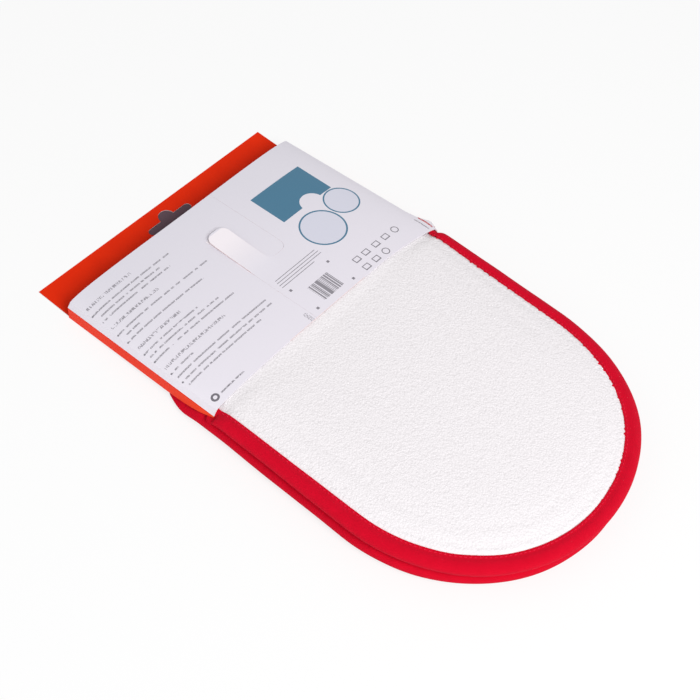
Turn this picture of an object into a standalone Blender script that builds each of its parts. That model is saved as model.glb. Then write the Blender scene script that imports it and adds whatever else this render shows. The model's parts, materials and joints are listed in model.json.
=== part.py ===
"""A double oven glove, folded in half and held in its card sleeve, lying on a table.

The glove is one long quilted band with a padded hand pocket at each end.  It lies folded
with both round ends together, and the middle of the band is tucked back between its own
halves inside the card.  The card sleeve is a flat header with a hanging slot, a front
panel, two low side walls, and a back made of two flaps whose tongues lock together.

Metres, +Z up.  X runs from the card's header to the round ends, Y across the width.
The origin is on the table, under the middle of the whole pack.
"""

import bmesh
import bpy
from math import cos, hypot, pi, radians, sin
from mathutils import Matrix, Vector

# Gap kept between pieces that lie on each other, and how far a cutter runs past a face.
CLEARANCE = 0.0003
OVERRUN = 0.003

# The pair of gloves, seen from above.
GLOVE_WIDTH = 0.181
GLOVE_REACH = 0.1772
BINDING_WIDTH = 0.0072
CROWN_RUN = 0.0144
LAYER_SETBACK = 0.0036
ROUND_END_STEPS = 22

# Card sleeve.  The gloves stand out of it on both sides.
GLOVE_OVERHANG = 0.004
SLEEVE_WIDTH = GLOVE_WIDTH - 2 * GLOVE_OVERHANG
CARD_THICKNESS = 0.0005
HEADER_LENGTH = 0.0235
FRONT_PANEL_LENGTH = 0.0705
BACK_PANEL_LENGTH = 0.1045
WALL_HEIGHT = 0.0076
WALL_TIP_HEIGHT = 0.0008
BACK_CROWN = 0.0083
BACK_FULLNESS = 2.8
SLEEVE_TILT = radians(3.34)
# Where the arched back is creased, as shares of its half width, from its edge inwards.
ARCH_SHARES = (1.0, 0.96, 0.91, 0.82, 0.7, 0.5, 0.25, 0.0)

# Hanging slot in the header, with its round hump towards the outer edge.
SLOT_LENGTH = 0.032
SLOT_WIDTH = 0.005
SLOT_FROM_EDGE = 0.0124
SLOT_HUMP_RADIUS = 0.005
SLOT_HUMP_SHIFT = 0.0024
SLOT_END_STEPS = 8
SLOT_HUMP_STEPS = 10

# The two back flaps meet on a stepped seam, and each holds the other with a tongue.
SEAM_NEAR_HEADER_Y = 0.0189
SEAM_NEAR_MOUTH_Y = -0.0091
TONGUE_SEAM_Y = 0.0051
TONGUES_START = 0.0242
TONGUES_END = 0.0588
TONGUE_RAMP = 0.003
TONGUE_CORNER_RADIUS = 0.0052
TONGUE_CORNER_STEPS = 4

# Layers of one glove, from the face that meets the other glove outwards.
PALM_LAYERS = (("palm_terry", 0.0008), ("palm_wadding", 0.0005), ("palm_lining", 0.0003))
PATCH_LAYERS = (
    ("pocket_lining", 0.0003),
    ("inner_wadding", 0.0004),
    ("steam_barrier", 0.0002),
    ("outer_wadding", 0.0004),
    ("pocket_terry", 0.001),
)
GLOVE_SPACING = 0.00095
POCKET_HEIGHT = 0.00425
RIM_POCKET_HEIGHT = 0.0004

# Bias binding rolled over the rim, and the thread that holds it.
BINDING_WALL = 0.0008
BINDING_SPACING = 0.00105
BINDING_LIP_DROP = 0.0002
BINDING_ROUND_WIDTH = 0.005
BINDING_ROUND_STEPS = 8
STITCH_RADIUS = 0.0003
STITCH_FROM_RIM = 0.0061
STITCH_SIDES = 6

# The lower binding comes out from under the card's side wall, flat and narrow at first.
BINDING_START = 0.0022
BINDING_FULL_WIDTH_RUN = 0.016
BINDING_FULL_HEIGHT_RUN = 0.022
BINDING_START_WIDTH_SHARE = 0.417
BINDING_START_HEIGHT_SHARE = 0.5

# Quilted band inside the card, folded back on itself between the two gloves.
BAND_SIDE_ROOM = 0.003
BAND_WIDTH = SLEEVE_WIDTH - 2 * (CARD_THICKNESS + BAND_SIDE_ROOM)
BAND_COVER = 0.0004
BAND_WADDING = 0.0008
BAND_LINING = 0.0004
FOLD_SPACING = 0.0019
FOLD_FROM_CREASE = 0.003
TUCK_END = 0.066
FOLD_STEPS = 5
UPPER_BAND_DROP_START = 0.069
UPPER_BAND_DROP_END = 0.093
BAND_DROP_STEPS = 7
LOWER_BAND_RISE_START = 0.076
LOWER_BAND_RISE_END = 0.091

# Strip that edges each pocket's mouth.
HEM_WIDTH = 0.009
HEM_THICKNESS = 0.0016
HEM_SIDE_ROOM = 0.001
HEM_LENGTH = BAND_WIDTH - 2 * HEM_SIDE_ROOM
UPPER_HEM_SETBACK = 0.0005
LOWER_HEM_LIFT = 0.0006

# Hanging loop, sewn at the band's middle and lying flat in the fold.
LOOP_TAPE_WIDTH = 0.009
LOOP_TAPE_THICKNESS = 0.0007
LOOP_LENGTH = 0.019
LOOP_FOLD_GAP = 0.0007
LOOP_FOLD_STEPS = 4
LOOP_FROM_BAND_EDGE = 0.0125
# It leans down towards the mouth with the band above it, as a share of its run.
LOOP_LEAN_SHARE = 0.12

# Colours, roughness and metallic value of each finish.
FINISHES = {
    "orange_card": ((0.62, 0.035, 0.008, 1.0), 0.42, 0.0),
    "orange_card_edge": ((0.8, 0.11, 0.045, 1.0), 0.45, 0.0),
    "white_card": ((0.8, 0.78, 0.84, 1.0), 0.4, 0.0),
    "white_terry": ((0.88, 0.85, 0.85, 1.0), 0.95, 0.0),
    "red_binding": ((0.58, 0.008, 0.02, 1.0), 0.8, 0.0),
    "red_thread": ((0.62, 0.02, 0.04, 1.0), 0.6, 0.0),
    "red_cotton": ((0.52, 0.008, 0.018, 1.0), 0.85, 0.0),
    "white_cotton": ((0.8, 0.78, 0.76, 1.0), 0.9, 0.0),
    "wadding": ((0.74, 0.73, 0.7, 1.0), 1.0, 0.0),
    "barrier_film": ((0.55, 0.57, 0.6, 1.0), 0.3, 0.4),
}

# The finish of each layer of a glove.
LAYER_FINISHES = {
    "palm_terry": "white_terry",
    "palm_wadding": "wadding",
    "palm_lining": "white_cotton",
    "pocket_lining": "white_cotton",
    "inner_wadding": "wadding",
    "steam_barrier": "barrier_film",
    "outer_wadding": "wadding",
    "pocket_terry": "white_terry",
}

# Sizes that follow from those above.
HALF_SLEEVE = SLEEVE_WIDTH / 2
GLOVE_RADIUS = GLOVE_WIDTH / 2
MOUTH_X = HEADER_LENGTH + BACK_PANEL_LENGTH * cos(SLEEVE_TILT)
SPLIT_X = MOUTH_X + CLEARANCE
OVERALL_LENGTH = MOUTH_X + GLOVE_REACH
ROUND_END_X = OVERALL_LENGTH - GLOVE_RADIUS


def stack_height(layers):
    """Thickness of some layers with the clearance between each two."""
    return sum(size for _, size in layers) + CLEARANCE * (len(layers) - 1)


PALM_THICKNESS = stack_height(PALM_LAYERS)
PATCH_THICKNESS = stack_height(PATCH_LAYERS)
PATCH_START = GLOVE_SPACING / 2 + PALM_THICKNESS + POCKET_HEIGHT
HALF_STACK = PATCH_START + PATCH_THICKNESS
RIM_SLOT_HEIGHT = PALM_THICKNESS + RIM_POCKET_HEIGHT + PATCH_THICKNESS + 2 * CLEARANCE
BINDING_HALF_HEIGHT = RIM_SLOT_HEIGHT / 2 + BINDING_WALL
BINDING_MIDDLE = BINDING_SPACING / 2 + BINDING_HALF_HEIGHT
PALM_RIM = BINDING_MIDDLE - RIM_SLOT_HEIGHT / 2 + CLEARANCE
PALM_RIM_SHIFT = PALM_RIM - GLOVE_SPACING / 2
PATCH_RIM_SHIFT = PALM_RIM + PALM_THICKNESS + RIM_POCKET_HEIGHT - PATCH_START

BAND_THICKNESS = BAND_COVER + BAND_WADDING + BAND_LINING + 2 * CLEARANCE
FOLD_PITCH = BAND_THICKNESS + FOLD_SPACING
FIRST_LEVEL = CARD_THICKNESS + CLEARANCE + BAND_THICKNESS / 2
PACK_TOP = FIRST_LEVEL + 3 * FOLD_PITCH + BAND_THICKNESS / 2

PACK_PLACE = Matrix.Translation((-OVERALL_LENGTH / 2, 0, 0))
TUBE_PLACE = PACK_PLACE @ Matrix.Translation((HEADER_LENGTH, 0, 0)) @ Matrix.Rotation(-SLEEVE_TILT, 4, "Y")


def clear_scene():
    for old in list(bpy.data.objects):
        bpy.data.objects.remove(old, do_unlink=True)


def new_collection(name):
    group = bpy.data.collections.new(name)
    bpy.context.scene.collection.children.link(group)
    return group


clear_scene()
PARTS = new_collection("double_oven_glove")
CUTTERS = new_collection("cutters")


def finish(name):
    """The Principled material of one finish, made once."""
    known = bpy.data.materials.get(name)
    if known:
        return known
    colour, roughness, metallic = FINISHES[name]
    made = bpy.data.materials.new(name)
    made.use_nodes = True
    shader = made.node_tree.nodes["Principled BSDF"]
    shader.inputs["Base Color"].default_value = colour
    shader.inputs["Roughness"].default_value = roughness
    shader.inputs["Metallic"].default_value = metallic
    return made


def joint_empty(name, place, parent=None):
    """An empty on a joint's axis, which carries what that joint moves."""
    empty = bpy.data.objects.new(name, None)
    empty.empty_display_size = HEADER_LENGTH
    PARTS.objects.link(empty)
    empty.matrix_basis = place
    if parent:
        bpy.context.view_layer.update()
        empty.parent = parent
        empty.matrix_parent_inverse = parent.matrix_world.inverted()
    bpy.context.view_layer.update()
    return empty


def add_part(name, bm, surface, place, carrier, group=None):
    """Turn the faces outwards, name the piece, give it its finish, and hang it on its carrier."""
    bmesh.ops.recalc_face_normals(bm, faces=bm.faces)
    if bm.calc_volume(signed=True) < 0:
        bmesh.ops.reverse_faces(bm, faces=bm.faces)
    mesh = bpy.data.meshes.new(name)
    bm.to_mesh(mesh)
    bm.free()
    mesh.materials.append(finish(surface))
    part = bpy.data.objects.new(name, mesh)
    (group or PARTS).objects.link(part)
    part.matrix_basis = place
    if carrier:
        part.parent = carrier
        part.matrix_parent_inverse = carrier.matrix_world.inverted()
    return part


def plate(points, thickness):
    """A flat plate on z = 0 with the given outline."""
    bm = bmesh.new()
    face = bm.faces.new([bm.verts.new((x, y, 0)) for x, y in points])
    grown = bmesh.ops.extrude_face_region(bm, geom=[face])
    moved = [item for item in grown["geom"] if isinstance(item, bmesh.types.BMVert)]
    bmesh.ops.translate(bm, verts=moved, vec=(0, 0, thickness))
    return bm


def upright_plate(points, low_y, high_y):
    """A plate that stands across Y, with its outline given in X and Z."""
    bm = bmesh.new()
    face = bm.faces.new([bm.verts.new((x, low_y, z)) for x, z in points])
    grown = bmesh.ops.extrude_face_region(bm, geom=[face])
    moved = [item for item in grown["geom"] if isinstance(item, bmesh.types.BMVert)]
    bmesh.ops.translate(bm, verts=moved, vec=(0, high_y - low_y, 0))
    return bm


def crease(bm, axis, values):
    """Cut edge lines across a mesh, so that it can bend there."""
    normal = Vector((1, 0, 0)) if axis == "x" else Vector((0, 1, 0))
    for value in values:
        everything = bm.verts[:] + bm.edges[:] + bm.faces[:]
        bmesh.ops.bisect_plane(bm, geom=everything, plane_co=normal * value, plane_no=normal)


def arc(centre, radius, start, end, steps):
    """Points along a circular arc, both ends included; angles in degrees."""
    points = []
    for step in range(steps + 1):
        angle = radians(start + (end - start) * step / steps)
        points.append((centre[0] + radius * cos(angle), centre[1] + radius * sin(angle)))
    return points


def full_rise(share):
    return BACK_CROWN * (1 - share ** BACK_FULLNESS) ** (1 / BACK_FULLNESS)


def back_rise(y):
    """How far the arched back stands over its side creases, straight between its creases."""
    share = min(abs(y) / HALF_SLEEVE, 1.0)
    for outer, inner in zip(ARCH_SHARES, ARCH_SHARES[1:]):
        if share >= inner:
            part = (share - inner) / (outer - inner)
            return full_rise(inner) * (1 - part) + full_rise(outer) * part
    return BACK_CROWN


def arch_lines(reach):
    """The crease lines of the arched back that lie within some distance of the middle."""
    lines = [share * HALF_SLEEVE for share in ARCH_SHARES if share * HALF_SLEEVE < reach]
    return sorted({sign * line for line in lines for sign in (-1, 1)})


def press_flat(bm):
    """Squeeze what lies in the card, so that it fits under the arched back."""
    for vert in bm.verts:
        room = WALL_HEIGHT + back_rise(vert.co.y) - CLEARANCE - CARD_THICKNESS
        share = min(1.0, room / (PACK_TOP - CARD_THICKNESS))
        vert.co.z = CARD_THICKNESS + (vert.co.z - CARD_THICKNESS) * share


def slot_outline():
    """The hanging slot: a bar with round ends and a round hump on its outer side."""
    half = SLOT_WIDTH / 2
    reach = SLOT_LENGTH / 2 - half
    hump_x = SLOT_FROM_EDGE - SLOT_HUMP_SHIFT
    side_x = SLOT_FROM_EDGE - half
    lean = half - SLOT_HUMP_SHIFT
    hump_half = (SLOT_HUMP_RADIUS ** 2 - lean ** 2) ** 0.5
    points = arc((SLOT_FROM_EDGE, reach), half, 0, 180, SLOT_END_STEPS)
    for step in range(SLOT_HUMP_STEPS + 1):
        sweep = pi * step / SLOT_HUMP_STEPS
        x = side_x - (SLOT_HUMP_RADIUS - (side_x - hump_x)) * sin(sweep)
        points.append((x, hump_half * cos(sweep)))
    points += arc((SLOT_FROM_EDGE, -reach), half, 180, 360, SLOT_END_STEPS)
    return points


def add_front_panel(carrier):
    """Header and front panel: one card, creased and lifted where the header ends."""
    corners = [
        (0, -HALF_SLEEVE),
        (HEADER_LENGTH + FRONT_PANEL_LENGTH, -HALF_SLEEVE),
        (HEADER_LENGTH + FRONT_PANEL_LENGTH, HALF_SLEEVE),
        (0, HALF_SLEEVE),
    ]
    bm = plate(corners, CARD_THICKNESS)
    crease(bm, "x", [HEADER_LENGTH])
    for vert in bm.verts:
        run = vert.co.x - HEADER_LENGTH
        if run > CLEARANCE:
            vert.co.x = HEADER_LENGTH + run * cos(SLEEVE_TILT) - vert.co.z * sin(SLEEVE_TILT)
            vert.co.z = vert.co.z * cos(SLEEVE_TILT) + run * sin(SLEEVE_TILT)
    panel = add_part("sleeve_front_panel", bm, "orange_card", PACK_PLACE, carrier)
    slot = plate(slot_outline(), CARD_THICKNESS + 2 * OVERRUN)
    bmesh.ops.translate(slot, verts=slot.verts, vec=(0, 0, -OVERRUN))
    cutter = add_part("hanging_slot_cutter", slot, "orange_card", PACK_PLACE, carrier, CUTTERS)
    cutter.display_type = "WIRE"
    cutter.hide_render = True
    cut = panel.modifiers.new("hanging_slot", "BOOLEAN")
    cut.operation = "DIFFERENCE"
    cut.solver = "EXACT"
    cut.object = cutter


def add_side_wall(name, side, carrier):
    """A low wall whose free end is cut back from the mouth down to the front panel."""
    low = CARD_THICKNESS + CLEARANCE
    high = WALL_HEIGHT - CLEARANCE
    tip = high - WALL_TIP_HEIGHT
    points = [
        (0, low),
        (FRONT_PANEL_LENGTH, low),
        (BACK_PANEL_LENGTH, tip),
        (BACK_PANEL_LENGTH, high),
        (0, high),
    ]
    outer = side * HALF_SLEEVE
    inner = side * (HALF_SLEEVE - CARD_THICKNESS)
    bm = upright_plate(points, min(outer, inner), max(outer, inner))
    add_part(name, bm, "orange_card_edge", TUBE_PLACE, carrier)


def left_flap_outline():
    """The left flap, with its tongue towards the mouth; it also lies under the other tongue."""
    seam_start = SEAM_NEAR_HEADER_Y - CLEARANCE
    seam_end = SEAM_NEAR_MOUTH_Y - CLEARANCE
    under_end = TONGUES_END - TONGUE_RAMP - CLEARANCE
    radius = TONGUE_CORNER_RADIUS
    tongue_low = TONGUE_SEAM_Y + CLEARANCE
    points = [(0, -HALF_SLEEVE), (BACK_PANEL_LENGTH, -HALF_SLEEVE), (BACK_PANEL_LENGTH, seam_end)]
    points += [(under_end, seam_end), (under_end, tongue_low)]
    steps = TONGUE_CORNER_STEPS
    points += arc((TONGUES_END - radius, tongue_low + radius), radius, -90, 0, steps)
    points += arc((TONGUES_END - radius, seam_start - radius), radius, 0, 90, steps)
    points += [(0, seam_start)]
    return points


def right_flap_outline():
    """The right flap, with its tongue towards the header and a recess for the other tongue."""
    radius = TONGUE_CORNER_RADIUS
    recess_end = TONGUES_END + CLEARANCE
    points = [(BACK_PANEL_LENGTH, HALF_SLEEVE), (0, HALF_SLEEVE), (0, SEAM_NEAR_HEADER_Y)]
    steps = TONGUE_CORNER_STEPS
    points += arc((recess_end - radius, SEAM_NEAR_HEADER_Y - radius), radius, 90, 0, steps)
    points += arc((recess_end - radius, TONGUE_SEAM_Y + radius), radius, 0, -90, steps)
    points += arc((TONGUES_START + radius, TONGUE_SEAM_Y - radius), radius, 90, 180, steps)
    points += arc((TONGUES_START + radius, SEAM_NEAR_MOUTH_Y + radius), radius, 180, 270, steps)
    points += [(BACK_PANEL_LENGTH, SEAM_NEAR_MOUTH_Y)]
    return points


def add_back_flap(name, outline, raised_tongue, carrier):
    """Half of the arched back; the right one's tongue steps up to lie on the left one."""
    bm = plate(outline, CARD_THICKNESS)
    crease(bm, "y", arch_lines(HALF_SLEEVE))
    step = CARD_THICKNESS + CLEARANCE
    tongue_root_y = TONGUE_SEAM_Y + TONGUE_CORNER_RADIUS
    if raised_tongue:
        crease(bm, "x", [TONGUES_END - TONGUE_RAMP, TONGUES_END])
    for vert in bm.verts:
        lift = WALL_HEIGHT + back_rise(vert.co.y)
        if raised_tongue and vert.co.y < tongue_root_y:
            lift += step * min(1.0, max(0.0, (TONGUES_END - vert.co.x) / TONGUE_RAMP))
        vert.co.z += lift
    add_part(name, bm, "white_card", TUBE_PLACE, carrier)


def offset_line(path, distance):
    """The path moved sideways, to its left, with mitred corners."""
    moved = []
    for index, (x, z) in enumerate(path):
        before = path[max(index - 1, 0)]
        after = path[min(index + 1, len(path) - 1)]
        normals = []
        for a, b in ((before, (x, z)), ((x, z), after)):
            length = hypot(b[0] - a[0], b[1] - a[1])
            if length:
                normals.append(Vector((-(b[1] - a[1]) / length, (b[0] - a[0]) / length)))
        mitre = (normals[0] + normals[-1]).normalized()
        reach = distance / mitre.dot(normals[0])
        moved.append((x + mitre.x * reach, z + mitre.y * reach))
    return moved


def ribbon(path, low, high, low_y, high_y):
    """A strip of cloth along a path in X and Z, between two distances from that path."""
    outline = offset_line(path, low) + offset_line(path, high)[::-1]
    return upright_plate(outline, low_y, high_y)


def height_in_card(level, run):
    """Height over the tilted card, some way along it, of a level over the table."""
    return (level - run * sin(SLEEVE_TILT)) / cos(SLEEVE_TILT)


def band_path():
    """Middle line of the folded band, from the lower glove round its folds to the upper."""
    turn = FOLD_PITCH / 2
    fold_x = FOLD_FROM_CREASE + BAND_THICKNESS / 2 + turn
    tuck_x = TUCK_END - BAND_THICKNESS / 2 - turn
    end_x = (MOUTH_X - HEADER_LENGTH) / cos(SLEEVE_TILT)
    palm = GLOVE_SPACING / 2 + PALM_THICKNESS / 2
    lower_palm = HALF_STACK - palm
    upper_palm = HALF_STACK + palm
    upper_drop = height_in_card(upper_palm, UPPER_BAND_DROP_END)
    levels = [FIRST_LEVEL + FOLD_PITCH * count for count in range(4)]
    path = [(end_x, height_in_card(lower_palm, end_x))]
    path += [(LOWER_BAND_RISE_END, height_in_card(lower_palm, LOWER_BAND_RISE_END))]
    path += [(LOWER_BAND_RISE_START, levels[0])]
    path += arc((fold_x, levels[0] + turn), turn, 270, 90, FOLD_STEPS)
    path += arc((tuck_x, levels[1] + turn), turn, -90, 90, FOLD_STEPS)
    path += arc((fold_x, levels[2] + turn), turn, 270, 90, FOLD_STEPS)
    for step in range(BAND_DROP_STEPS + 1):
        part = step / BAND_DROP_STEPS
        ease = (1 - cos(pi * part)) / 2
        run = UPPER_BAND_DROP_START + (UPPER_BAND_DROP_END - UPPER_BAND_DROP_START) * part
        path.append((run, levels[3] + (upper_drop - levels[3]) * ease))
    path.append((end_x, height_in_card(upper_palm, end_x)))
    return path


def add_band(carrier):
    """The band's cover, wadding and lining, which run on from glove to glove."""
    path = band_path()
    half = BAND_THICKNESS / 2
    layers = (
        ("band_cover", half - BAND_COVER, half, "red_cotton"),
        ("band_wadding", BAND_LINING + CLEARANCE - half, half - BAND_COVER - CLEARANCE, "wadding"),
        ("band_lining", -half, BAND_LINING - half, "red_cotton"),
    )
    for name, low, high, surface in layers:
        bm = ribbon(path, low, high, -BAND_WIDTH / 2, BAND_WIDTH / 2)
        crease(bm, "y", arch_lines(BAND_WIDTH / 2))
        press_flat(bm)
        add_part(name, bm, surface, TUBE_PLACE, carrier)


def add_hanging_loop(carrier):
    """A loop of tape at the band's middle, doubled and lying flat between the layers."""
    turn = (LOOP_TAPE_THICKNESS + LOOP_FOLD_GAP) / 2
    start_x = TUCK_END + CLEARANCE
    level = FIRST_LEVEL + FOLD_PITCH + FOLD_PITCH / 2
    fold_x = start_x + LOOP_LENGTH - turn - LOOP_TAPE_THICKNESS / 2
    path = [(start_x, level - turn)]
    path += arc((fold_x, level), turn, -90, 90, LOOP_FOLD_STEPS)
    path += [(start_x, level + turn)]
    half = LOOP_TAPE_THICKNESS / 2
    low_y = LOOP_FROM_BAND_EDGE - BAND_WIDTH / 2
    bm = ribbon(path, -half, half, low_y, low_y + LOOP_TAPE_WIDTH)
    for vert in bm.verts:
        vert.co.z -= (vert.co.x - start_x) * LOOP_LEAN_SHARE
    press_flat(bm)
    add_part("hanging_loop", bm, "red_binding", TUBE_PLACE, carrier)


def glove_outline(setback, back_x):
    """Outline of a glove, set in from its rim, from its cut end round the tip."""
    radius = GLOVE_RADIUS - setback
    points = [(back_x, -radius)]
    points += arc((ROUND_END_X, 0), radius, -90, 90, ROUND_END_STEPS)
    points += [(back_x, radius)]
    return points


def add_glove_layer(name, side, low, thickness, rim_shift, surface, carrier):
    """One layer of a glove: flat in the middle, drawn towards the others at the rim."""
    bm = bmesh.new()
    spare = LAYER_SETBACK + BINDING_WIDTH + CROWN_RUN
    outline = glove_outline(LAYER_SETBACK, SPLIT_X - spare)
    face = bm.faces.new([bm.verts.new((x, y, rim_shift)) for x, y in outline])
    face.normal_update()
    held = BINDING_WIDTH + CLEARANCE - LAYER_SETBACK
    for inset in (held, CROWN_RUN):
        bmesh.ops.inset_individual(bm, faces=[face], thickness=inset, use_even_offset=True)
    for vert in face.verts:
        vert.co.z = 0
    everything = bm.verts[:] + bm.edges[:] + bm.faces[:]
    cut = Vector((SPLIT_X, 0, 0))
    bmesh.ops.bisect_plane(bm, geom=everything, plane_co=cut, plane_no=(1, 0, 0), clear_inner=True)
    grown = bmesh.ops.extrude_face_region(bm, geom=bm.faces[:])
    moved = [item for item in grown["geom"] if isinstance(item, bmesh.types.BMVert)]
    bmesh.ops.translate(bm, verts=moved, vec=(0, 0, thickness))
    for vert in bm.verts:
        vert.co.z = HALF_STACK + side * (low + vert.co.z)
    add_part(name, bm, surface, PACK_PLACE, carrier)


def add_glove_layers(glove, side, carrier):
    """All layers of one glove, palm side first."""
    for layers, start, shift in (
        (PALM_LAYERS, GLOVE_SPACING / 2, PALM_RIM_SHIFT),
        (PATCH_LAYERS, PATCH_START, PATCH_RIM_SHIFT),
    ):
        level = start
        for layer, thickness in layers:
            surface = LAYER_FINISHES[layer]
            add_glove_layer(f"{glove}_{layer}", side, level, thickness, shift, surface, carrier)
            level += thickness + CLEARANCE


def sweep_round_glove(bm, face, start_x):
    """Carry a section face along one side, round the tip, and back along the other side."""
    run = ROUND_END_X - start_x
    grown = bmesh.ops.extrude_face_region(bm, geom=[face])
    ends = [item for item in grown["geom"] if isinstance(item, bmesh.types.BMVert)]
    bmesh.ops.translate(bm, verts=ends, vec=(run, 0, 0))
    tip_face = [item for item in grown["geom"] if isinstance(item, bmesh.types.BMFace)]
    spun = bmesh.ops.spin(
        bm,
        geom=tip_face,
        cent=(ROUND_END_X, 0, 0),
        axis=(0, 0, 1),
        angle=pi,
        steps=ROUND_END_STEPS,
        use_duplicate=False,
    )
    last_face = [item for item in spun["geom_last"] if isinstance(item, bmesh.types.BMFace)]
    grown = bmesh.ops.extrude_face_region(bm, geom=last_face)
    ends = [item for item in grown["geom"] if isinstance(item, bmesh.types.BMVert)]
    bmesh.ops.translate(bm, verts=ends, vec=(-run, 0, 0))
    inside = [item for item in bm.faces if all(len(edge.link_faces) > 2 for edge in item.edges)]
    bmesh.ops.delete(bm, geom=inside, context="FACES_ONLY")


def binding_section():
    """Section of the rolled binding: distance in from the rim, height from its middle."""
    slot_half = RIM_SLOT_HEIGHT / 2
    lip = BINDING_HALF_HEIGHT - BINDING_LIP_DROP
    slot_end = LAYER_SETBACK - CLEARANCE
    points = [(BINDING_WIDTH, lip)]
    for step in range(BINDING_ROUND_STEPS + 1):
        turn = pi * step / BINDING_ROUND_STEPS
        inwards = BINDING_ROUND_WIDTH * (1 - sin(turn))
        points.append((inwards, BINDING_HALF_HEIGHT * cos(turn)))
    points += [(BINDING_WIDTH, -lip), (BINDING_WIDTH, -slot_half), (slot_end, -slot_half)]
    points += [(slot_end, slot_half), (BINDING_WIDTH, slot_half)]
    return points


def tuck_under_wall(bm, start_x):
    """Flatten and narrow the binding's two ends where they come out from the card."""
    full_width_x = start_x + BINDING_FULL_WIDTH_RUN
    full_height_x = start_x + BINDING_FULL_HEIGHT_RUN
    middle_x = (start_x + full_width_x) / 2
    crease(bm, "x", [middle_x, full_width_x, full_height_x])
    inner = GLOVE_RADIUS - BINDING_WIDTH
    for vert in bm.verts:
        run = vert.co.x - start_x
        if run > BINDING_FULL_HEIGHT_RUN:
            continue
        width = min(1.0, run / BINDING_FULL_WIDTH_RUN)
        width_share = BINDING_START_WIDTH_SHARE + (1 - BINDING_START_WIDTH_SHARE) * width
        height = run / BINDING_FULL_HEIGHT_RUN
        height_share = BINDING_START_HEIGHT_SHARE + (1 - BINDING_START_HEIGHT_SHARE) * height
        side = 1 if vert.co.y > 0 else -1
        vert.co.y = side * (inner + (abs(vert.co.y) - inner) * width_share)
        vert.co.z *= height_share


def add_edge_binding(name, side, start_x, tucked, carrier):
    """The binding round one glove's rim; the lower one runs back under the card's wall."""
    level = HALF_STACK + side * BINDING_MIDDLE
    bm = bmesh.new()
    corners = [(start_x, inwards - GLOVE_RADIUS, level + height) for inwards, height in binding_section()]
    face = bm.faces.new([bm.verts.new(corner) for corner in corners])
    sweep_round_glove(bm, face, start_x)
    if tucked:
        tuck_under_wall(bm, start_x)
    add_part(name, bm, "red_binding", PACK_PLACE, carrier)


def add_edge_stitching(name, side, carrier):
    """The row of thread along the binding, near its inner edge."""
    out = BINDING_MIDDLE + BINDING_HALF_HEIGHT + CLEARANCE + STITCH_RADIUS
    level = HALF_STACK + side * out
    middle_y = STITCH_FROM_RIM - GLOVE_RADIUS
    bm = bmesh.new()
    section = arc((middle_y, level), STITCH_RADIUS, 0, 360, STITCH_SIDES)[:-1]
    face = bm.faces.new([bm.verts.new((SPLIT_X, y, z)) for y, z in section])
    sweep_round_glove(bm, face, SPLIT_X)
    add_part(name, bm, "red_thread", PACK_PLACE, carrier)


def add_upper_hem(carrier):
    """The strip on the upper pocket's mouth, which lies against the arched card."""
    end_x = (MOUTH_X - HEADER_LENGTH) / cos(SLEEVE_TILT) - UPPER_HEM_SETBACK
    half = HEM_LENGTH / 2
    corners = [(end_x - HEM_WIDTH, -half), (end_x, -half), (end_x, half), (end_x - HEM_WIDTH, half)]
    bm = plate(corners, HEM_THICKNESS)
    crease(bm, "y", arch_lines(half))
    for vert in bm.verts:
        vert.co.z += WALL_HEIGHT + back_rise(vert.co.y) - CLEARANCE - HEM_THICKNESS
        vert.co.x += vert.co.z * sin(SLEEVE_TILT)
    add_part("upper_mouth_hem", bm, "white_terry", TUBE_PLACE, carrier)


def add_lower_hem(carrier):
    """The strip on the lower pocket's mouth, just over the table."""
    half = HEM_LENGTH / 2
    start_x = MOUTH_X - HEM_WIDTH
    corners = [(start_x, -half), (MOUTH_X, -half), (MOUTH_X, half), (start_x, half)]
    bm = plate(corners, HEM_THICKNESS)
    flat = GLOVE_RADIUS - BINDING_WIDTH - CLEARANCE - CROWN_RUN
    crease(bm, "y", [-flat, flat])
    for vert in bm.verts:
        outwards = max(0.0, abs(vert.co.y) - flat) / CROWN_RUN
        vert.co.z += LOWER_HEM_LIFT - PATCH_RIM_SHIFT * outwards
    add_part("lower_mouth_hem", bm, "white_terry", PACK_PLACE, carrier)


def add_glove(glove, side, carrier, binding_start_x):
    add_glove_layers(glove, side, carrier)
    tucked = binding_start_x < SPLIT_X
    add_edge_binding(f"{glove}_edge_binding", side, binding_start_x, tucked, carrier)
    add_edge_stitching(f"{glove}_edge_stitching", side, carrier)


def build():
    sleeve = joint_empty("sleeve", TUBE_PLACE)
    glove_slide = joint_empty("glove_slide", TUBE_PLACE, sleeve)
    lift_place = PACK_PLACE @ Matrix.Translation((SPLIT_X, 0, 2 * HALF_STACK))
    upper_glove_lift = joint_empty("upper_glove_lift", lift_place, glove_slide)
    flap_hinges = {}
    for name, side in (("left", -1), ("right", 1)):
        place = TUBE_PLACE @ Matrix.Translation((0, side * HALF_SLEEVE, WALL_HEIGHT))
        flap_hinges[name] = joint_empty(f"{name}_flap_hinge", place, sleeve)
        add_side_wall(f"sleeve_{name}_wall", side, sleeve)
    add_front_panel(sleeve)
    add_back_flap("sleeve_left_back_flap", left_flap_outline(), False, flap_hinges["left"])
    add_back_flap("sleeve_right_back_flap", right_flap_outline(), True, flap_hinges["right"])
    add_band(glove_slide)
    add_hanging_loop(glove_slide)
    add_upper_hem(glove_slide)
    add_lower_hem(glove_slide)
    panel_end_x = HEADER_LENGTH + FRONT_PANEL_LENGTH * cos(SLEEVE_TILT)
    add_glove("lower", -1, glove_slide, panel_end_x + BINDING_START)
    add_glove("upper", 1, upper_glove_lift, SPLIT_X)


build()
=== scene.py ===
import json
from math import atan2, cos, exp, hypot, pi, radians, sin

import bmesh
import bpy
from mathutils import Matrix, Vector, noise


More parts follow.
